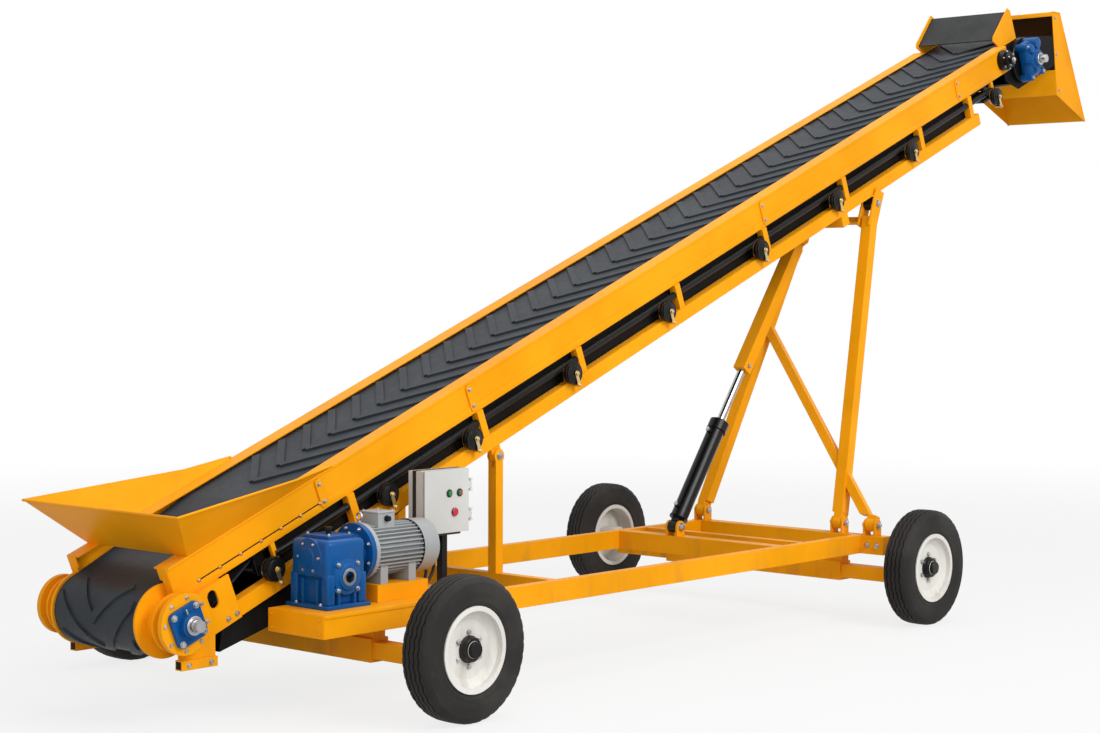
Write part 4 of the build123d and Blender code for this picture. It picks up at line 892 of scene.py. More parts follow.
@dataclass
class BoomDress(Dress):
    """Trim of the boom: folded channel edges, joint bolts, guard bars, black strips and sheets of painted
    shade, and the rollers' caps and clips.
    """

    tail: float = -1.215
    head: float = 7.515
    web: float = 0.410
    depth: float = 0.190
    band: float = 0.046
    lip: float = 0.014
    proud: float = 0.004
    fold: float = 0.0015
    end_caps: tuple[Triple, ...] = ((0.058, 0.188, 0.352), (0.018, 0.066, 0.335))
    end_cap_inset: float = 0.005
    seam: Pair = (-1.060, -0.190)
    seam_shadow_size: Pair = (0.005, 0.0048)
    screw_pitch: float = 0.145
    screw_size: float = 0.009
    joints: tuple[float, ...] = (-0.160, 1.070, 4.080, 6.715)
    joint_face: float = 0.420
    joint_rows: Pair = (-0.045, -0.145)
    joint_bolt: float = 0.011
    posts: tuple[float, ...] = (0.020, 1.100, 2.020, 3.040, 4.040, 5.040, 6.100, 6.840)
    post_half: float = 0.025
    strap_ends: Pair = (-0.560, 7.215)
    strap_size: Triple = (0.030, 0.026, 0.092)
    bar_n: float = -0.254
    bar_y: float = 0.400
    bar_radius: float = 0.022
    bay_shade: Pair = (-0.540, 6.930)
    bay_shade_n: Pair = (-0.428, -0.188)
    bay_shade_y: float = 0.360
    bay_shade_thick: float = 0.003
    rollers: tuple[float, ...] = (-0.630, 0.250, 0.965, 1.890, 2.860, 3.925, 4.870, 5.900, 7.175)
    roller_n: float = -0.300
    cap_foot: float = 0.433
    cap: Outline = ((0.020, 0.043), (0.034, 0.0415), (0.050, 0.038), (0.060, 0.0325), (0.0655, 0.024),
                    (0.067, 0.013), (0.0655, 0.003), (0.062, -0.001))
    ring_foot: float = 0.4225
    ring: Triple = (0.0225, 0.060, 0.010)
    rail_face: float = 0.430
    clip_face: float = 0.476
    clip_low: float = -0.376
    clip: Pair = (0.024, 0.006)
    clip_bolts: Pair = (0.015, 0.011)
    clip_stud: float = 0.009

    def channels(self) -> None:
        """Fold a band along the foot of each channel and a lip along its top, with screws, and a black strip
        of painted shadow along the band's seam.
        """
        edges, seam_shadows, screws, bolts = Shaper(), Shaper(), Shaper(), Shaper()
        middle, length = (self.tail + self.head) / 2, self.head - self.tail
        start, end = self.seam
        seam_n = self.band - self.depth
        for side in Side:
            y = side.value * self.web
            for n, wide in ((self.band / 2 - self.depth, self.band), (-self.lip / 2, self.lip)):
                edges.box(self.boom.outward(middle, n, y), (length, wide, self.proud), self.fold)
            for wide, tall, inner in self.end_caps:
                cap = self.boom.point(self.tail - self.end_cap_inset, -tall / 2,
                                      side.value * (inner + wide / 2))
                edges.box(place(cap, -self.boom.along, FARWARD), (wide, tall, 0.004), 0.001)
            # black strip along the band's seam: painted shadow line
            seam_shadows.box(self.boom.outward((start + end) / 2, seam_n, y), (end - start, *self.seam_shadow_size))
            for step in range(int((end - start) / self.screw_pitch) + 1):
                at = self.boom.outward(start + step * self.screw_pitch, seam_n, y + side.value * self.proud)
                screws.bolt(at, self.screw_size)
            for s in self.joints:
                for n in self.joint_rows:
                    bolts.bolt(self.boom.outward(s, n, side.value * self.joint_face), self.joint_bolt)
        self.finish(edges, "channel_edges", "yellow")
        self.finish(seam_shadows, "channel_seams", "pan")
        self.finish(screws, "channel_screws", "zinc")
        self.finish(bolts, "joint_bolts", "steel")

    def guard_bars(self) -> None:
        """Run a black round bar along each bay, with a strap at both ends, and a black sheet behind as
        painted shade in the bay.
        """
        bars, straps, bay_shades = Shaper(), Shaper(), Shaper()
        half = self.post_half
        stops = [self.strap_ends[0] - half, *self.posts, self.strap_ends[1] + half]
        (tail, head), (low, high) = self.bay_shade, self.bay_shade_n
        for side in Side:
            y = side.value * self.bar_y
            for start, end in zip(stops, stops[1:]):
                bars.bar(self.boom.point(start + half, self.bar_n, y),
                         self.boom.point(end - half, self.bar_n, y), self.bar_radius, 16)
            for s in self.strap_ends:
                top = self.boom.point(s, -self.depth, y)
                straps.box(place(top, -self.boom.up, self.boom.along), self.strap_size, 0.003)
            # black sheet behind the bars: painted shade filling each bay
            bay_shades.box(self.boom.outward((tail + head) / 2, (low + high) / 2, side.value * self.bay_shade_y),
                       (head - tail, high - low, self.bay_shade_thick))
        self.finish(bars, "guard_bars", "black")
        self.finish(bay_shades, "guard_skirts", "pan")
        self.finish(straps, "guard_bar_straps", "yellow")

    def roller_ends(self) -> None:
        """Cap each return roller's end and hold its shaft with a plated clip."""
        caps, clips = Shaper(), Shaper()
        wide, thick = self.clip
        high, low = self.roller_n, self.clip_low
        for sign in (side.value for side in Side):
            for s in self.rollers:
                caps.boss(self.boom.outward(s, high, sign * self.cap_foot), self.cap, 28)
                clips.box(self.boom.outward(s, (high + low) / 2, sign * self.clip_face),
                          (wide, high - low, thick))
                for n, size in zip((high, low), self.clip_bolts):
                    eye = self.boom.outward(s, n, sign * self.clip_face)
                    clips.rod(eye, wide / 2, thick, 20)
                    clips.bolt(moved(eye, z=thick), size)
                clips.sleeve(self.boom.outward(s, high, sign * self.ring_foot), *self.ring, 0.002, 28)
                clips.rod(self.boom.outward(s, low, sign * self.rail_face), self.clip_stud,
                          self.clip_face - self.rail_face, 14)
        self.finish(caps, "roller_caps", "black", 50.0)
        self.finish(clips, "roller_clips", "zinc")

    def build(self) -> None:
        """Build all trim of the boom."""
        self.channels()
        self.guard_bars()
        self.roller_ends()


@dataclass
class DrumDress(Dress):
    """What the dressing round a drum's ends needs: the place of the drum's axis and its shaft."""

    drum_s: float = 0.0
    drum_n: float = 0.0
    shaft_radius: float = 0.0352
    collar: Triple = (0.048, 0.014, 0.002)

    def on_drum(self, y: float) -> Matrix:
        """Local frame on the drum's axis at a distance across, Z away from the middle."""
        return self.boom.outward(self.drum_s, self.drum_n, y)


@dataclass
class TailDress(DrumDress):
    """Trim of the tail: bearing and disc bolts, locking collars, nipples, foot bolts, and black squares of
    painted shade in the tube ends.
    """

    drum_s: float = -1.280
    drum_n: float = -0.262
    bearing_face: float = 0.537
    bearing_bolts: Triple = (0.072, 0.072, 0.016)
    boss_face: float = 0.571
    boss_radius: float = 0.062
    disc_face: float = 0.515
    disc_ring: tuple[float, int, float] = (0.132, 8, 0.010)
    arm_face: float = 0.442
    arm_bolts: Outline = ((-0.925, -0.400), (-0.985, -0.400))
    arm_bolt: float = 0.013
    foot_face: float = 0.461
    foot_bolts: Pair = (-1.030, -0.890)
    foot_bolt: float = 0.012
    foot_z: float = 0.315
    tube_end_x: float = -1.076
    tube_y: float = 0.436
    tube_hole: float = 0.038
    nipple_hex: Pair = (0.0065, 0.010)
    nipple_neck: Pair = (0.004, 0.012)
    nipple_ball: float = 0.005

    def build(self) -> None:
        """Build all trim of the tail."""
        steel, nipples, dark = Shaper(), Shaper(), Shaper()
        up = self.boom.up
        for sign in (side.value for side in Side):
            steel.four_bolts(self.on_drum(sign * self.bearing_face), *self.bearing_bolts)
            steel.bolt_ring(self.on_drum(sign * self.disc_face), *self.disc_ring)
            steel.sleeve(self.on_drum(sign * self.boss_face), self.shaft_radius, *self.collar)
            for s, n in self.arm_bolts:
                steel.bolt(self.boom.outward(s, n, sign * self.arm_face), self.arm_bolt)
            for x in self.foot_bolts:
                foot = self.face(x, sign * self.foot_face, self.foot_z, (0, sign, 0))
                steel.bolt(foot, self.foot_bolt)
            top = self.boom.point(self.drum_s, self.drum_n + self.boss_radius - 0.002,
                                  sign * (self.bearing_face + self.boss_face) / 2)
            for (radius, length), steps in ((self.nipple_hex, 6), (self.nipple_neck, 12)):
                nipples.rod(place(top, up), radius, length, steps)
                top = top + up * length
            nipples.ball(top, self.nipple_ball)
            # black squares on the foot tubes' open ends: painted shade inside the hollow tubes
            dark.box(self.face(self.tube_end_x, sign * self.tube_y, self.foot_z, TAILWARD, FARWARD),
                     (self.tube_hole, self.tube_hole, 0.001))
        self.finish(steel, "tail_bolts", "steel")
        self.finish(nipples, "grease_nipples", "zinc")
        self.finish(dark, "tail_tube_ends", "pan")


@dataclass
class HopperDress(Dress):
    """Rolled rim of the hopper."""

    corners: tuple[Triple, ...] = ((-1.2176, 0.2991, 0.6393), (-0.330, 0.060, 0.4552),
                                   (-0.040, 0.006, 0.4136))
    radius: float = 0.007

    def build(self) -> None:
        """Run the rolled rim round both sides and across the tail."""
        rim = Shaper()
        path = [self.boom.point(s, n, -y) for s, n, y in reversed(self.corners)]
        path += [self.boom.point(*corner) for corner in self.corners]
        rim.pipe(path, self.radius, 12)
        self.finish(rim, "hopper_rim", "yellow", 50.0)


@dataclass
class HeadDress(DrumDress):
    """Trim of the head: cast gearbox, disc, hub bolts, cover strips, hood bolts, edges, and a dark brown
    sheet of painted shade inside the hood.
    """

    drum_s: float = 7.800
    drum_n: float = -0.198
    collar: Triple = (0.048, 0.010, 0.002)
    disc_foot: float = 0.348
    disc: tuple[float, float, float, float] = (0.036, 0.176, 0.040, 0.006)
    cast_foot: float = 0.385
    blocks: tuple[tuple[Triple, float], ...] = (((0.200, 0.262, 0.104), 0.035),
                                                ((0.170, 0.300, 0.075), 0.026))
    lugs: Pair = (0.088, 0.122)
    lug: Pair = (0.027, 0.100)
    lug_bolt: float = 0.012
    caps: tuple[Triple, ...] = ((0.040, 0.118, 0.044), (-0.058, 0.100, 0.034))
    cap_height: float = 0.124
    ribs: int = 6
    rib_at: Pair = (0.085, 0.060)
    rib: Triple = (0.050, 0.014, 0.062)
    output: Outline = ((0.088, 0.090), (0.080, 0.122), (0.076, 0.126), (0.062, 0.126), (0.060, 0.136),
                       (0.056, 0.139))
    boss_face: float = 0.524
    hub_s: float = 7.428
    hub_n: float = -0.088
    hub_rows: tuple[tuple[float, float, int, float], ...] = ((0.462, 0.067, 6, 0.009),
                                                             (0.492, 0.045, 4, 0.008))
    hub_end: float = 0.508
    hub_bolt: float = 0.017
    cover_tail: Pair = (7.490, 0.060)
    cover_head: Pair = (7.757, 0.205)
    cover_strip_y: float = 0.322
    cover_half_thick: float = 0.004
    strip: Pair = (0.030, 0.003)
    strip_share: float = 0.96
    screw_shares: Triple = (0.12, 0.5, 0.88)
    cover_screw: float = 0.008
    hood_face: float = 0.353
    hood_bolts: Outline = ((7.850, 4.375), (7.880, 4.090), (7.930, 3.800))
    hood_bolt: float = 0.011
    hood_lips: Outline = ((7.804, 4.419), (7.918, 4.420), (8.365, 3.578))
    lip_radius: float = 0.006
    hood_brow: Triple = (0.706, 0.034, 0.004)
    hood_shade_sheet: Triple = (0.560, 0.690, 0.003)
    hood_shade_at: Pair = (8.0457, 4.165)

    def casting(self) -> None:
        """Cast the head gearbox: a rounded block with corner lugs, ribs, two covers and the output boss."""
        near = Side.NEAR.value
        blue, disc = Shaper(), Shaper()
        foot = self.on_drum(near * self.cast_foot)
        for size, soft in self.blocks:
            blue.box(foot, size, soft)
        x, y = self.lugs
        for a, b in CORNERS:
            blue.rod(moved(foot, a * x, b * y), *self.lug, 20, soft=0.004)
        for x, y, radius in self.caps:
            blue.rod(moved(foot, x, y), radius, self.cap_height, 28, soft=0.005)
        x, z = self.rib_at
        for step in range(self.ribs):
            spoke = foot @ Matrix.Rotation(math.tau * step / self.ribs, 4, "Z")
            blue.box(moved(spoke, x, z=z), self.rib, 0.003)
        blue.boss(foot, self.output, 40, self.shaft_radius)
        disc.sleeve(self.on_drum(near * self.disc_foot), *self.disc, 56)
        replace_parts(self.finish(blue, "head_gearbox_casting", "blue"), "head_gearbox")
        self.finish(disc, "head_drum_disc", "black")

    def drive_end(self) -> None:
        """Bolt the gearbox's lugs, ring its shaft and bolt the round hub beside it."""
        near = Side.NEAR.value
        steel = Shaper()
        steel.four_bolts(self.on_drum(near * (self.cast_foot + self.lug[1])), *self.lugs, self.lug_bolt)
        steel.sleeve(self.on_drum(near * self.boss_face), self.shaft_radius, *self.collar)
        for face, circle, count, size in self.hub_rows:
            steel.bolt_ring(self.boom.outward(self.hub_s, self.hub_n, near * face), circle, count, size)
        steel.bolt(self.boom.outward(self.hub_s, self.hub_n, near * self.hub_end), self.hub_bolt)
        self.finish(steel, "head_bolts", "steel")

    def cover(self) -> None:
        """Fold a strip along both sides of the sloping cover and screw it down."""
        strips, screws = Shaper(), Shaper()
        tail, head = (self.boom.point(*end) for end in (self.cover_tail, self.cover_head))
        slope = (head - tail).normalized()
        square = Vector(FARWARD).cross(slope).normalized()
        wide, thick = self.strip
        for side in Side:
            out = Vector((0, side.value * self.cover_strip_y, 0)) + square * self.cover_half_thick
            strips.box(place((tail + head) / 2 + out, square, slope),
                       ((head - tail).length * self.strip_share, wide, thick), 0.001)
            for share in self.screw_shares:
                spot = tail.lerp(head, share) + out + square * thick
                screws.bolt(place(spot, square), self.cover_screw)
        self.finish(strips, "cover_strips", "flap")
        self.finish(screws, "cover_screws", "steel")

    def hood(self) -> None:
        """Bolt the hood on, fold its free edges and set a dark brown sheet of painted shade inside its front
        wall.
        """
        bolts, lips, hood_shade_sheet = Shaper(), Shaper(), Shaper()
        for sign in (side.value for side in Side):
            for x, z in self.hood_bolts:
                bolts.bolt(self.face(x, sign * self.hood_face, z, (0, sign, 0)), self.hood_bolt)
            path = [self.spot(x, sign * self.hood_face, z) for x, z in self.hood_lips]
            lips.pipe(path, self.lip_radius, 10)
        rear, top, low = (self.spot(x, 0, z) for x, z in self.hood_lips)
        brow = rear - Vector(UPWARD) * self.hood_brow[1] / 2
        lips.box(place(brow, TAILWARD, FARWARD), self.hood_brow, 0.001)
        down = low - top
        # dark brown sheet inside the hood's front wall: painted shade of the interior
        x, z = self.hood_shade_at
        hood_shade_sheet.box(self.face(x, 0, z, (down.z, 0, -down.x), down), self.hood_shade_sheet)
        self.finish(hood_shade_sheet, "hood_lining", "hood_shade_sheet")
        self.finish(bolts, "hood_bolts", "steel")
        self.finish(lips, "hood_edges", "yellow", 50.0)

    def build(self) -> None:
        """Build all trim of the head."""
        self.casting()
        self.drive_end()
        self.cover()
        self.hood()


@dataclass
class DriveDress(Dress):
    """Trim of the drive: platform end, cast gearbox with bolts, lid and breather, motor eye, and black rings
    and a disc of painted shade for the fan grille's slots and the gearbox's bore.
    """

    BODY: ClassVar[str] = "chassis"
    platform_tail: float = -0.530
    platform_head: float = 0.700
    platform_y: Pair = (-0.900, -0.480)
    platform_z: Pair = (0.430, 0.550)
    sheet: float = 0.004
    side_band: float = 0.020
    platform_bolts: Triple = (0.180, 0.035, 0.009)
    gear_x: float = -0.265
    gear_y: float = -0.640
    base_top: float = 0.570
    base_bolts: Triple = (0.138, 0.092, 0.0105)
    blocks: tuple[tuple[Triple, float, float], ...] = (
        ((0.304, 0.320, 0.020), 0.0, 0.004), ((0.214, 0.236, 0.150), 0.018, 0.012),
        ((0.270, 0.284, 0.200), 0.152, 0.030), ((0.170, 0.190, 0.024), 0.346, 0.005))
    leg_foot: float = 0.018
    legs: Pair = (0.109, 0.119)
    leg: Triple = (0.052, 0.052, 0.160)
    rib_shifts: Pair = (-0.055, 0.055)
    rib: Triple = (0.262, 0.016, 0.130)
    cross_rib: Triple = (0.016, 0.292, 0.130)
    bore: float = 0.0352
    output_z: float = 0.710
    output_face: float = -0.790
    output: Outline = ((0.096, -0.020), (0.092, -0.004), (0.070, 0.002), (0.066, 0.010), (0.062, 0.012))
    output_bolts: Triple = (0.066, 0.066, 0.011)
    output_lug: Triple = (0.060, 0.036, 0.020)
    output_lug_at: Pair = (0.080, -0.020)
    output_ring_face: float = -0.796
    output_ring: tuple[float, float, float, float] = (0.0292, 0.0452, 0.009, 0.001)
    bore_floor: float = -0.0145
    shaft_z: float = 0.810
    cover_x: float = -0.400
    cover: Outline = ((0.098, -0.010), (0.098, 0.002), (0.094, 0.005), (0.084, 0.005), (0.050, 0.009),
                      (0.046, 0.016))
    cover_ring: tuple[float, int, float] = (0.076, 6, 0.009)
    cover_bolt_x: float = -0.404
    lid_top: float = 0.920
    lid_bolts: Triple = (0.070, 0.080, 0.009)
    breather: Outline = ((0.014, 0.0), (0.014, 0.016), (0.021, 0.018), (0.021, 0.032), (0.017, 0.037),
                         (0.0, 0.038))
    neck_face: float = -0.094
    neck: Outline = ((0.112, -0.050), (0.100, -0.020), (0.104, 0.0), (0.152, 0.0), (0.152, 0.031),
                     (0.149, 0.034))
    neck_ring: tuple[float, int, float] = (0.130, 8, 0.011)
    eye_at: Pair = (-0.047, 0.958)
    eye_foot: Pair = (0.012, 0.014)
    eye_rise: float = 0.034
    eye: Pair = (0.019, 0.006)
    box_x: float = 0.086
    box_top: float = 1.004
    lid: Triple = (0.128, 0.138, 0.010)
    lid_screws: Triple = (0.0516, 0.0559, 0.006)
    gland_y: float = -0.705
    gland_z: float = 0.976
    gland_nut: Pair = (0.018, 0.010)
    gland_tube: Pair = (0.014, 0.014)
    fan_start: float = 0.296
    fan_band: tuple[float, float, float, float] = (0.130, 0.146, 0.014, 0.002)
    fan_end: float = 0.408
    grille_shade_radii: tuple[float, ...] = (0.030, 0.050, 0.070, 0.090, 0.110)
    slot_half: float = 0.005

    def on_shaft(self, x: float, facing: Sequence[float]) -> Matrix:
        """Local frame on the motor's axis."""
        return self.face(x, self.gear_y, self.shaft_z, facing)

    def platform(self) -> None:
        """Close the platform's tail end and fold a band along its near side."""
        sheet, bolts = Shaper(), Shaper()
        (low, high), (out, inside) = self.platform_z, self.platform_y
        tail, head = self.platform_tail, self.platform_head
        end = self.face(tail, (out + inside) / 2, (low + high) / 2, TAILWARD, FARWARD)
        sheet.box(end, (inside - out, high - low, self.sheet), 0.0015)
        sheet.box(self.face((tail + head) / 2, out, high - self.side_band / 2, NEARWARD),
                  (head - tail, self.side_band, self.sheet), 0.0015)
        bolts.four_bolts(moved(end, z=self.sheet), *self.platform_bolts)
        self.finish(sheet, "platform_sheet", "yellow")
        self.finish(bolts, "platform_bolts", "yellow")

    def casting(self) -> None:
        """Cast the gearbox: a rounded block on four legs, with covers, a lugged boss and the motor's neck,
        and a black disc of painted shade deep in the output bore.
        """
        blue, dark = Shaper(), Shaper()
        foot = self.face(self.gear_x, self.gear_y, self.platform_z[1], UPWARD)
        for size, low, soft in self.blocks:
            blue.box(moved(foot, z=low), size, soft)
        x, y = self.legs
        for a, b in CORNERS:
            blue.box(moved(foot, a * x, b * y, self.leg_foot), self.leg, 0.010)
        for shift in self.rib_shifts:
            blue.box(moved(foot, y=shift, z=self.leg_foot), self.rib, 0.004)
            blue.box(moved(foot, x=shift, z=self.leg_foot), self.cross_rib, 0.004)
        blue.boss(self.on_shaft(self.cover_x, TAILWARD), self.cover, 44)
        output = self.face(self.gear_x, self.output_face, self.output_z, NEARWARD)
        blue.boss(output, self.output, 44, self.bore)
        x, z = self.output_lug_at
        for step in range(4):
            spoke = output @ Matrix.Rotation(math.tau * (step + 0.5) / 4, 4, "Z")
            blue.box(moved(spoke, x, z=z), self.output_lug, 0.006)
        # black disc inside the output bore: painted shade of the recess
        dark.rod(moved(output, z=self.bore_floor), self.bore, 0.001, 32)
        blue.boss(self.on_shaft(self.neck_face, HEADWARD), self.neck, 56)
        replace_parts(self.finish(blue, "drive_gearbox_casting", "blue"), "drive_gearbox")
        self.finish(dark, "drive_gearbox_bore", "pan")

    def gearbox(self) -> None:
        """Bolt the gearbox's base, output lugs, tail cover, neck flange and lid."""
        steel, dark = Shaper(), Shaper()
        base = self.face(self.gear_x, self.gear_y, self.base_top, UPWARD)
        output = self.face(self.gear_x, self.output_face, self.output_z, NEARWARD)
        ring = self.face(self.gear_x, self.output_ring_face, self.output_z, NEARWARD)
        steel.four_bolts(base, *self.base_bolts)
        steel.four_bolts(output, *self.output_bolts)
        steel.sleeve(ring, *self.output_ring)
        steel.bolt_ring(self.on_shaft(self.cover_bolt_x, TAILWARD), *self.cover_ring)
        steel.bolt_ring(self.on_shaft(self.neck_face, TAILWARD), *self.neck_ring)
        lid = self.face(self.gear_x, self.gear_y, self.lid_top, UPWARD)
        steel.four_bolts(lid, *self.lid_bolts)
        dark.boss(lid, self.breather, 28)
        self.finish(steel, "gearbox_bolts", "steel")
        self.finish(dark, "gearbox_breather", "black")

    def motor(self) -> None:
        """Add the lifting eye, terminal lid, fan band, and black rings of painted shade for the fan grille's
        slots.
        """
        grey, steel, dark = Shaper(), Shaper(), Shaper()
        x, z = self.eye_at
        steel.rod(self.face(x, self.gear_y, z, UPWARD), *self.eye_foot, 20)
        steel.hoop(self.face(x, self.gear_y, z + self.eye_rise, HEADWARD), *self.eye)
        lid = self.face(self.box_x, self.gear_y, self.box_top, UPWARD)
        grey.box(lid, self.lid, 0.003)
        steel.four_bolts(moved(lid, z=self.lid[2]), *self.lid_screws)
        gland = self.face(self.box_x, self.gland_y, self.gland_z, NEARWARD)
        dark.rod(gland, *self.gland_nut, 6)
        dark.rod(moved(gland, z=self.gland_nut[1]), *self.gland_tube, 20)
        grey.sleeve(self.on_shaft(self.fan_start, HEADWARD), *self.fan_band, 56)
        rear = self.on_shaft(self.fan_end, HEADWARD)
        # black rings on the fan cover: painted shade for the grille's slots
        for radius in self.grille_shade_radii:
            dark.sleeve(rear, radius - self.slot_half, radius + self.slot_half, 0.001)
        self.finish(grey, "motor_trim", "grey")
        self.finish(steel, "motor_bolts", "steel")
        self.finish(dark, "motor_dark_trim", "black")

    def build(self) -> None:
        """Build all trim of the drive."""
        self.platform()
        self.casting()
        self.gearbox()
        self.motor()


@dataclass
class ControlDress(Dress):
    """Trim of the control box: gasket band, cable glands, button rings and caps."""

    BODY: ClassVar[str] = "chassis"
    DOOR: ClassVar[str] = "door"
    box_x: Pair = (0.440, 0.785)
    box_z: Pair = (0.850, 1.195)
    band_y: Pair = (-0.569, -0.543)
    band: float = 0.002
    glands: Outline = ((0.500, -0.585), (0.590, -0.558))
    gland_inner: float = 0.0092
    gland_nut: Triple = (0.019, 0.016, 0.002)
    gland_tube: Triple = (0.0145, 0.034, 0.003)
    base: Triple = (0.270, 0.080, 0.016)
    base_y: float = -0.568
    door_face: float = -0.637
    buttons_at: Outline = ((0.627, 1.066), (0.707, 1.066), (0.667, 0.962))
    ring: Outline = ((0.022, 0.0), (0.022, 0.004), (0.019, 0.007), (0.016, 0.007), (0.0155, 0.005))
    cap: Outline = ((0.0145, 0.005), (0.0145, 0.011), (0.012, 0.0135), (0.0, 0.014))
    half_cap_at: Pair = (0.007, 0.005)
    half_cap: Triple = (0.0125, 0.026, 0.008)
    mushroom: Outline = ((0.012, 0.005), (0.012, 0.0075), (0.0215, 0.0085), (0.0225, 0.0105),
                         (0.019, 0.0130), (0.010, 0.0140))

    def box(self) -> None:
        """Wrap the gasket band round the box and screw glands on the cables."""
        band, glands = Shaper(), Shaper()
        (x0, x1), (z0, z1), (y0, y1) = self.box_x, self.box_z, self.band_y
        middle_x, y, middle_z = (x0 + x1) / 2, (y0 + y1) / 2, (z0 + z1) / 2
        for x, way in ((x0, TAILWARD), (x1, HEADWARD)):
            band.box(self.face(x, y, middle_z, way, FARWARD), (y1 - y0, z1 - z0 + 2 * self.band, self.band))
        for z, way in ((z0, DOWNWARD), (z1, UPWARD)):
            band.box(self.face(middle_x, y, z, way, HEADWARD), (x1 - x0, y1 - y0, self.band))
        glands.box(self.face(middle_x, self.base_y, z0, DOWNWARD), self.base, 0.003)
        for x, gland_y in self.glands:
            under = self.face(x, gland_y, z0 - self.base[2], DOWNWARD)
            glands.sleeve(under, self.gland_inner, *self.gland_nut, 6)
            glands.sleeve(under, self.gland_inner, *self.gland_tube, 24)
        self.finish(band, "box_gasket", "gasket")
        self.finish(glands, "cable_glands", "gasket")

    def buttons(self) -> None:
        """Set rings and caps on the door in place of the plain buttons."""
        rings, green, red = Shaper(), Shaper(), Shaper()
        spots = [self.face(x, self.door_face, z, NEARWARD) for x, z in self.buttons_at]
        for spot in spots:
            rings.boss(spot, self.ring, 32)
        single, double, stop = spots
        x, z = self.half_cap_at
        green.boss(single, self.cap, 28)
        green.box(moved(double, -x, z=z), self.half_cap, 0.0015)
        red.box(moved(double, x, z=z), self.half_cap, 0.0015)
        red.boss(stop, self.mushroom, 32)
        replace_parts(rings.hand_over("button_rings", self.DOOR, self.shop, "gasket"), "control_buttons")
        green.hand_over("green_caps", self.DOOR, self.shop, "green")
        red.hand_over("red_caps", self.DOOR, self.shop, "red")

    def build(self) -> None:
        """Build all trim of the control box."""
        self.box()
        self.buttons()


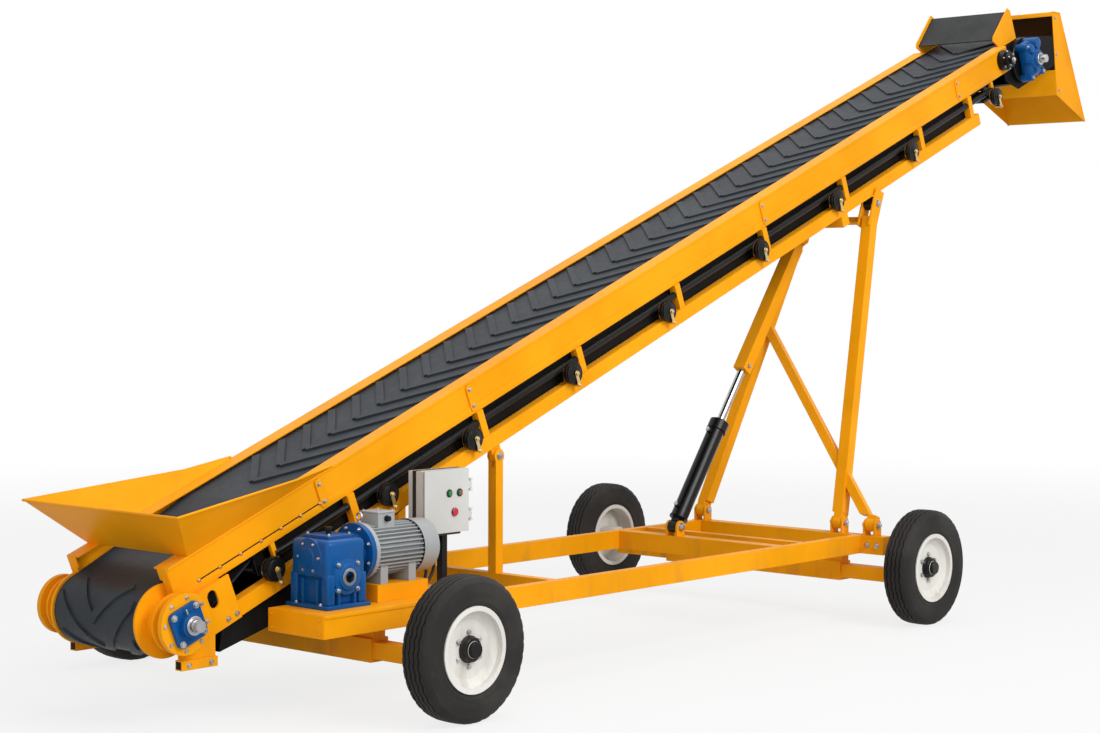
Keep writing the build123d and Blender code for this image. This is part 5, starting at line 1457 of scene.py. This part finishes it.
@dataclass
class LiftDress(Dress):
    """Trim of the ram, its feet, the support frame and the posts: gland, ports, nuts and bolts."""

    BODY: ClassVar[str] = "chassis"
    foot: Triple = (3.420, 0.0, 0.610)
    lean: Triple = (0.58323, 0.0, 0.81231)
    gland_at: float = 0.8248
    gland: tuple[float, float, float, float] = (0.0272, 0.052, 0.012, 0.003)
    base_ring_at: float = 0.060
    base_ring: tuple[float, float, float, float] = (0.056, 0.063, 0.014, 0.004)
    ports: Pair = (0.130, 0.720)
    port_foot: float = 0.055
    port: Pair = (0.019, 0.020)
    plug: Pair = (0.016, 0.014)
    joint_at: float = 1.290
    joint_face: float = 0.045
    joint_bolt: float = 0.014
    clevis_face: float = 0.050
    clevis_nut: float = 0.026
    roller: Pair = (5.340, -0.491)
    keeper_face: float = 0.452
    pin_nut: float = 0.022
    feet_y: Triple = (-0.700, 0.460, -0.960)
    feet_x: float = 4.320
    feet_z: float = 0.620
    cheek: float = 0.047
    post_x: float = 1.250
    post_z: float = 1.22516
    post_face: float = 0.430
    post_nut: float = 0.020
    beam_bolts: Outline = ((-1.030, 0.490), (-0.955, 0.490))
    beam_face: float = 4.270
    beam_bolt: float = 0.018

    def ram(self) -> None:
        """Dress the ram's barrel and the joint of its extension."""
        black, steel, joint = Shaper(), Shaper(), Shaper()
        along, foot = Vector(self.lean), self.spot(*self.foot)
        aside = Vector((-along.z, 0, along.x))
        black.sleeve(place(foot + along * self.gland_at, along), *self.gland)
        black.sleeve(place(foot + along * self.base_ring_at, along), *self.base_ring)
        for at in self.ports:
            port = place(foot + along * at + aside * self.port_foot, aside)
            black.rod(port, *self.port, 20)
            steel.rod(moved(port, z=self.port[1]), *self.plug, 6, soft=0.001)
        for side in Side:
            spot = foot + along * self.joint_at + Vector((0, side.value * self.joint_face, 0))
            joint.bolt(place(spot, (0, side.value, 0)), self.joint_bolt)
        black.hand_over("ram_rings", "ram_cylinder", self.shop, "ram")
        steel.hand_over("ram_ports", "ram_cylinder", self.shop, "steel")
        joint.hand_over("extension_bolts", "ram_piston", self.shop, "steel")

    def pins(self) -> None:
        """Put nuts on the pins of support frame, ram foot, feet and posts, and bolt the rear beam."""
        moving, fixed = Shaper(), Shaper()
        for sign in (side.value for side in Side):
            out = (0, sign, 0)
            moving.bolt(place(self.boom.point(*self.roller, sign * self.keeper_face), out), self.pin_nut)
            fixed.bolt(self.face(self.foot[0], sign * self.clevis_face, self.foot[2], out), self.clevis_nut)
            fixed.bolt(self.face(self.post_x, sign * self.post_face, self.post_z, out), self.post_nut)
            for y in self.feet_y:
                fixed.bolt(self.face(self.feet_x, y + sign * self.cheek, self.feet_z, out), self.pin_nut)
        for y, z in self.beam_bolts:
            fixed.bolt(self.face(self.beam_face, y, z, TAILWARD), self.beam_bolt)
        moving.hand_over("roller_pin_nuts", "support_frame", self.shop, "steel")
        self.finish(fixed, "chassis_pin_nuts", "steel")

    def build(self) -> None:
        """Build all trim of the lift."""
        self.ram()
        self.pins()


NODE_FINISH = {
    "yellow": ("stringer_near", "stringer_far", "stringer_joint_plates", "lower_rails", "boom_posts",
               "boom_cross_ties", "slider_deck", "tail_brackets", "hopper", "cover_cheeks", "hood",
               "boom_pivot_lugs", "lift_beam", "axle_front", "axle_rear", "chassis_rails",
               "chassis_crossmembers", "rear_beam", "drive_platform", "front_posts", "ram_clevis",
               "support_feet", "support_leg_near", "support_leg_far", "support_brace", "ram_extension",
               "motor_base"),
    "belt": ("belt",),
    "black": ("return_rollers", "head_hub", "support_rollers", "roller_hangers", "control_post"),
    "ram": ("ram_barrel",),
    "steel": ("tail_drum", "head_drum"),
    # painted shade: the guard pan and the head side plates are flat black for the shade in the boom's gaps
    # and behind the head drum
    "pan": ("guard_pan", "head_side_plates"),
    "flap": ("head_cover",),
    "blue": ("drum_bearings",),
    "grey": ("drive_motor",),
    "panel": ("control_box", "control_door"),
    "chrome": ("ram_rod",),
    "cable": ("control_cables",),
}


def main() -> None:
    """Build the whole scene in order and note its sizes."""
    logging.basicConfig(level=logging.INFO)
    shop = Shop()
    boom = BoomLine()
    for key, nodes in NODE_FINISH.items():
        for node in nodes:
            shop.paint_node(node, key)
    RoadWheels(shop).build()
    for dress in (BoomDress, TailDress, HopperDress, HeadDress, DriveDress, ControlDress, LiftDress):
        dress(shop, boom).build()
    Studio().build(boom.front_x)


if __name__ == "__main__":
    main()
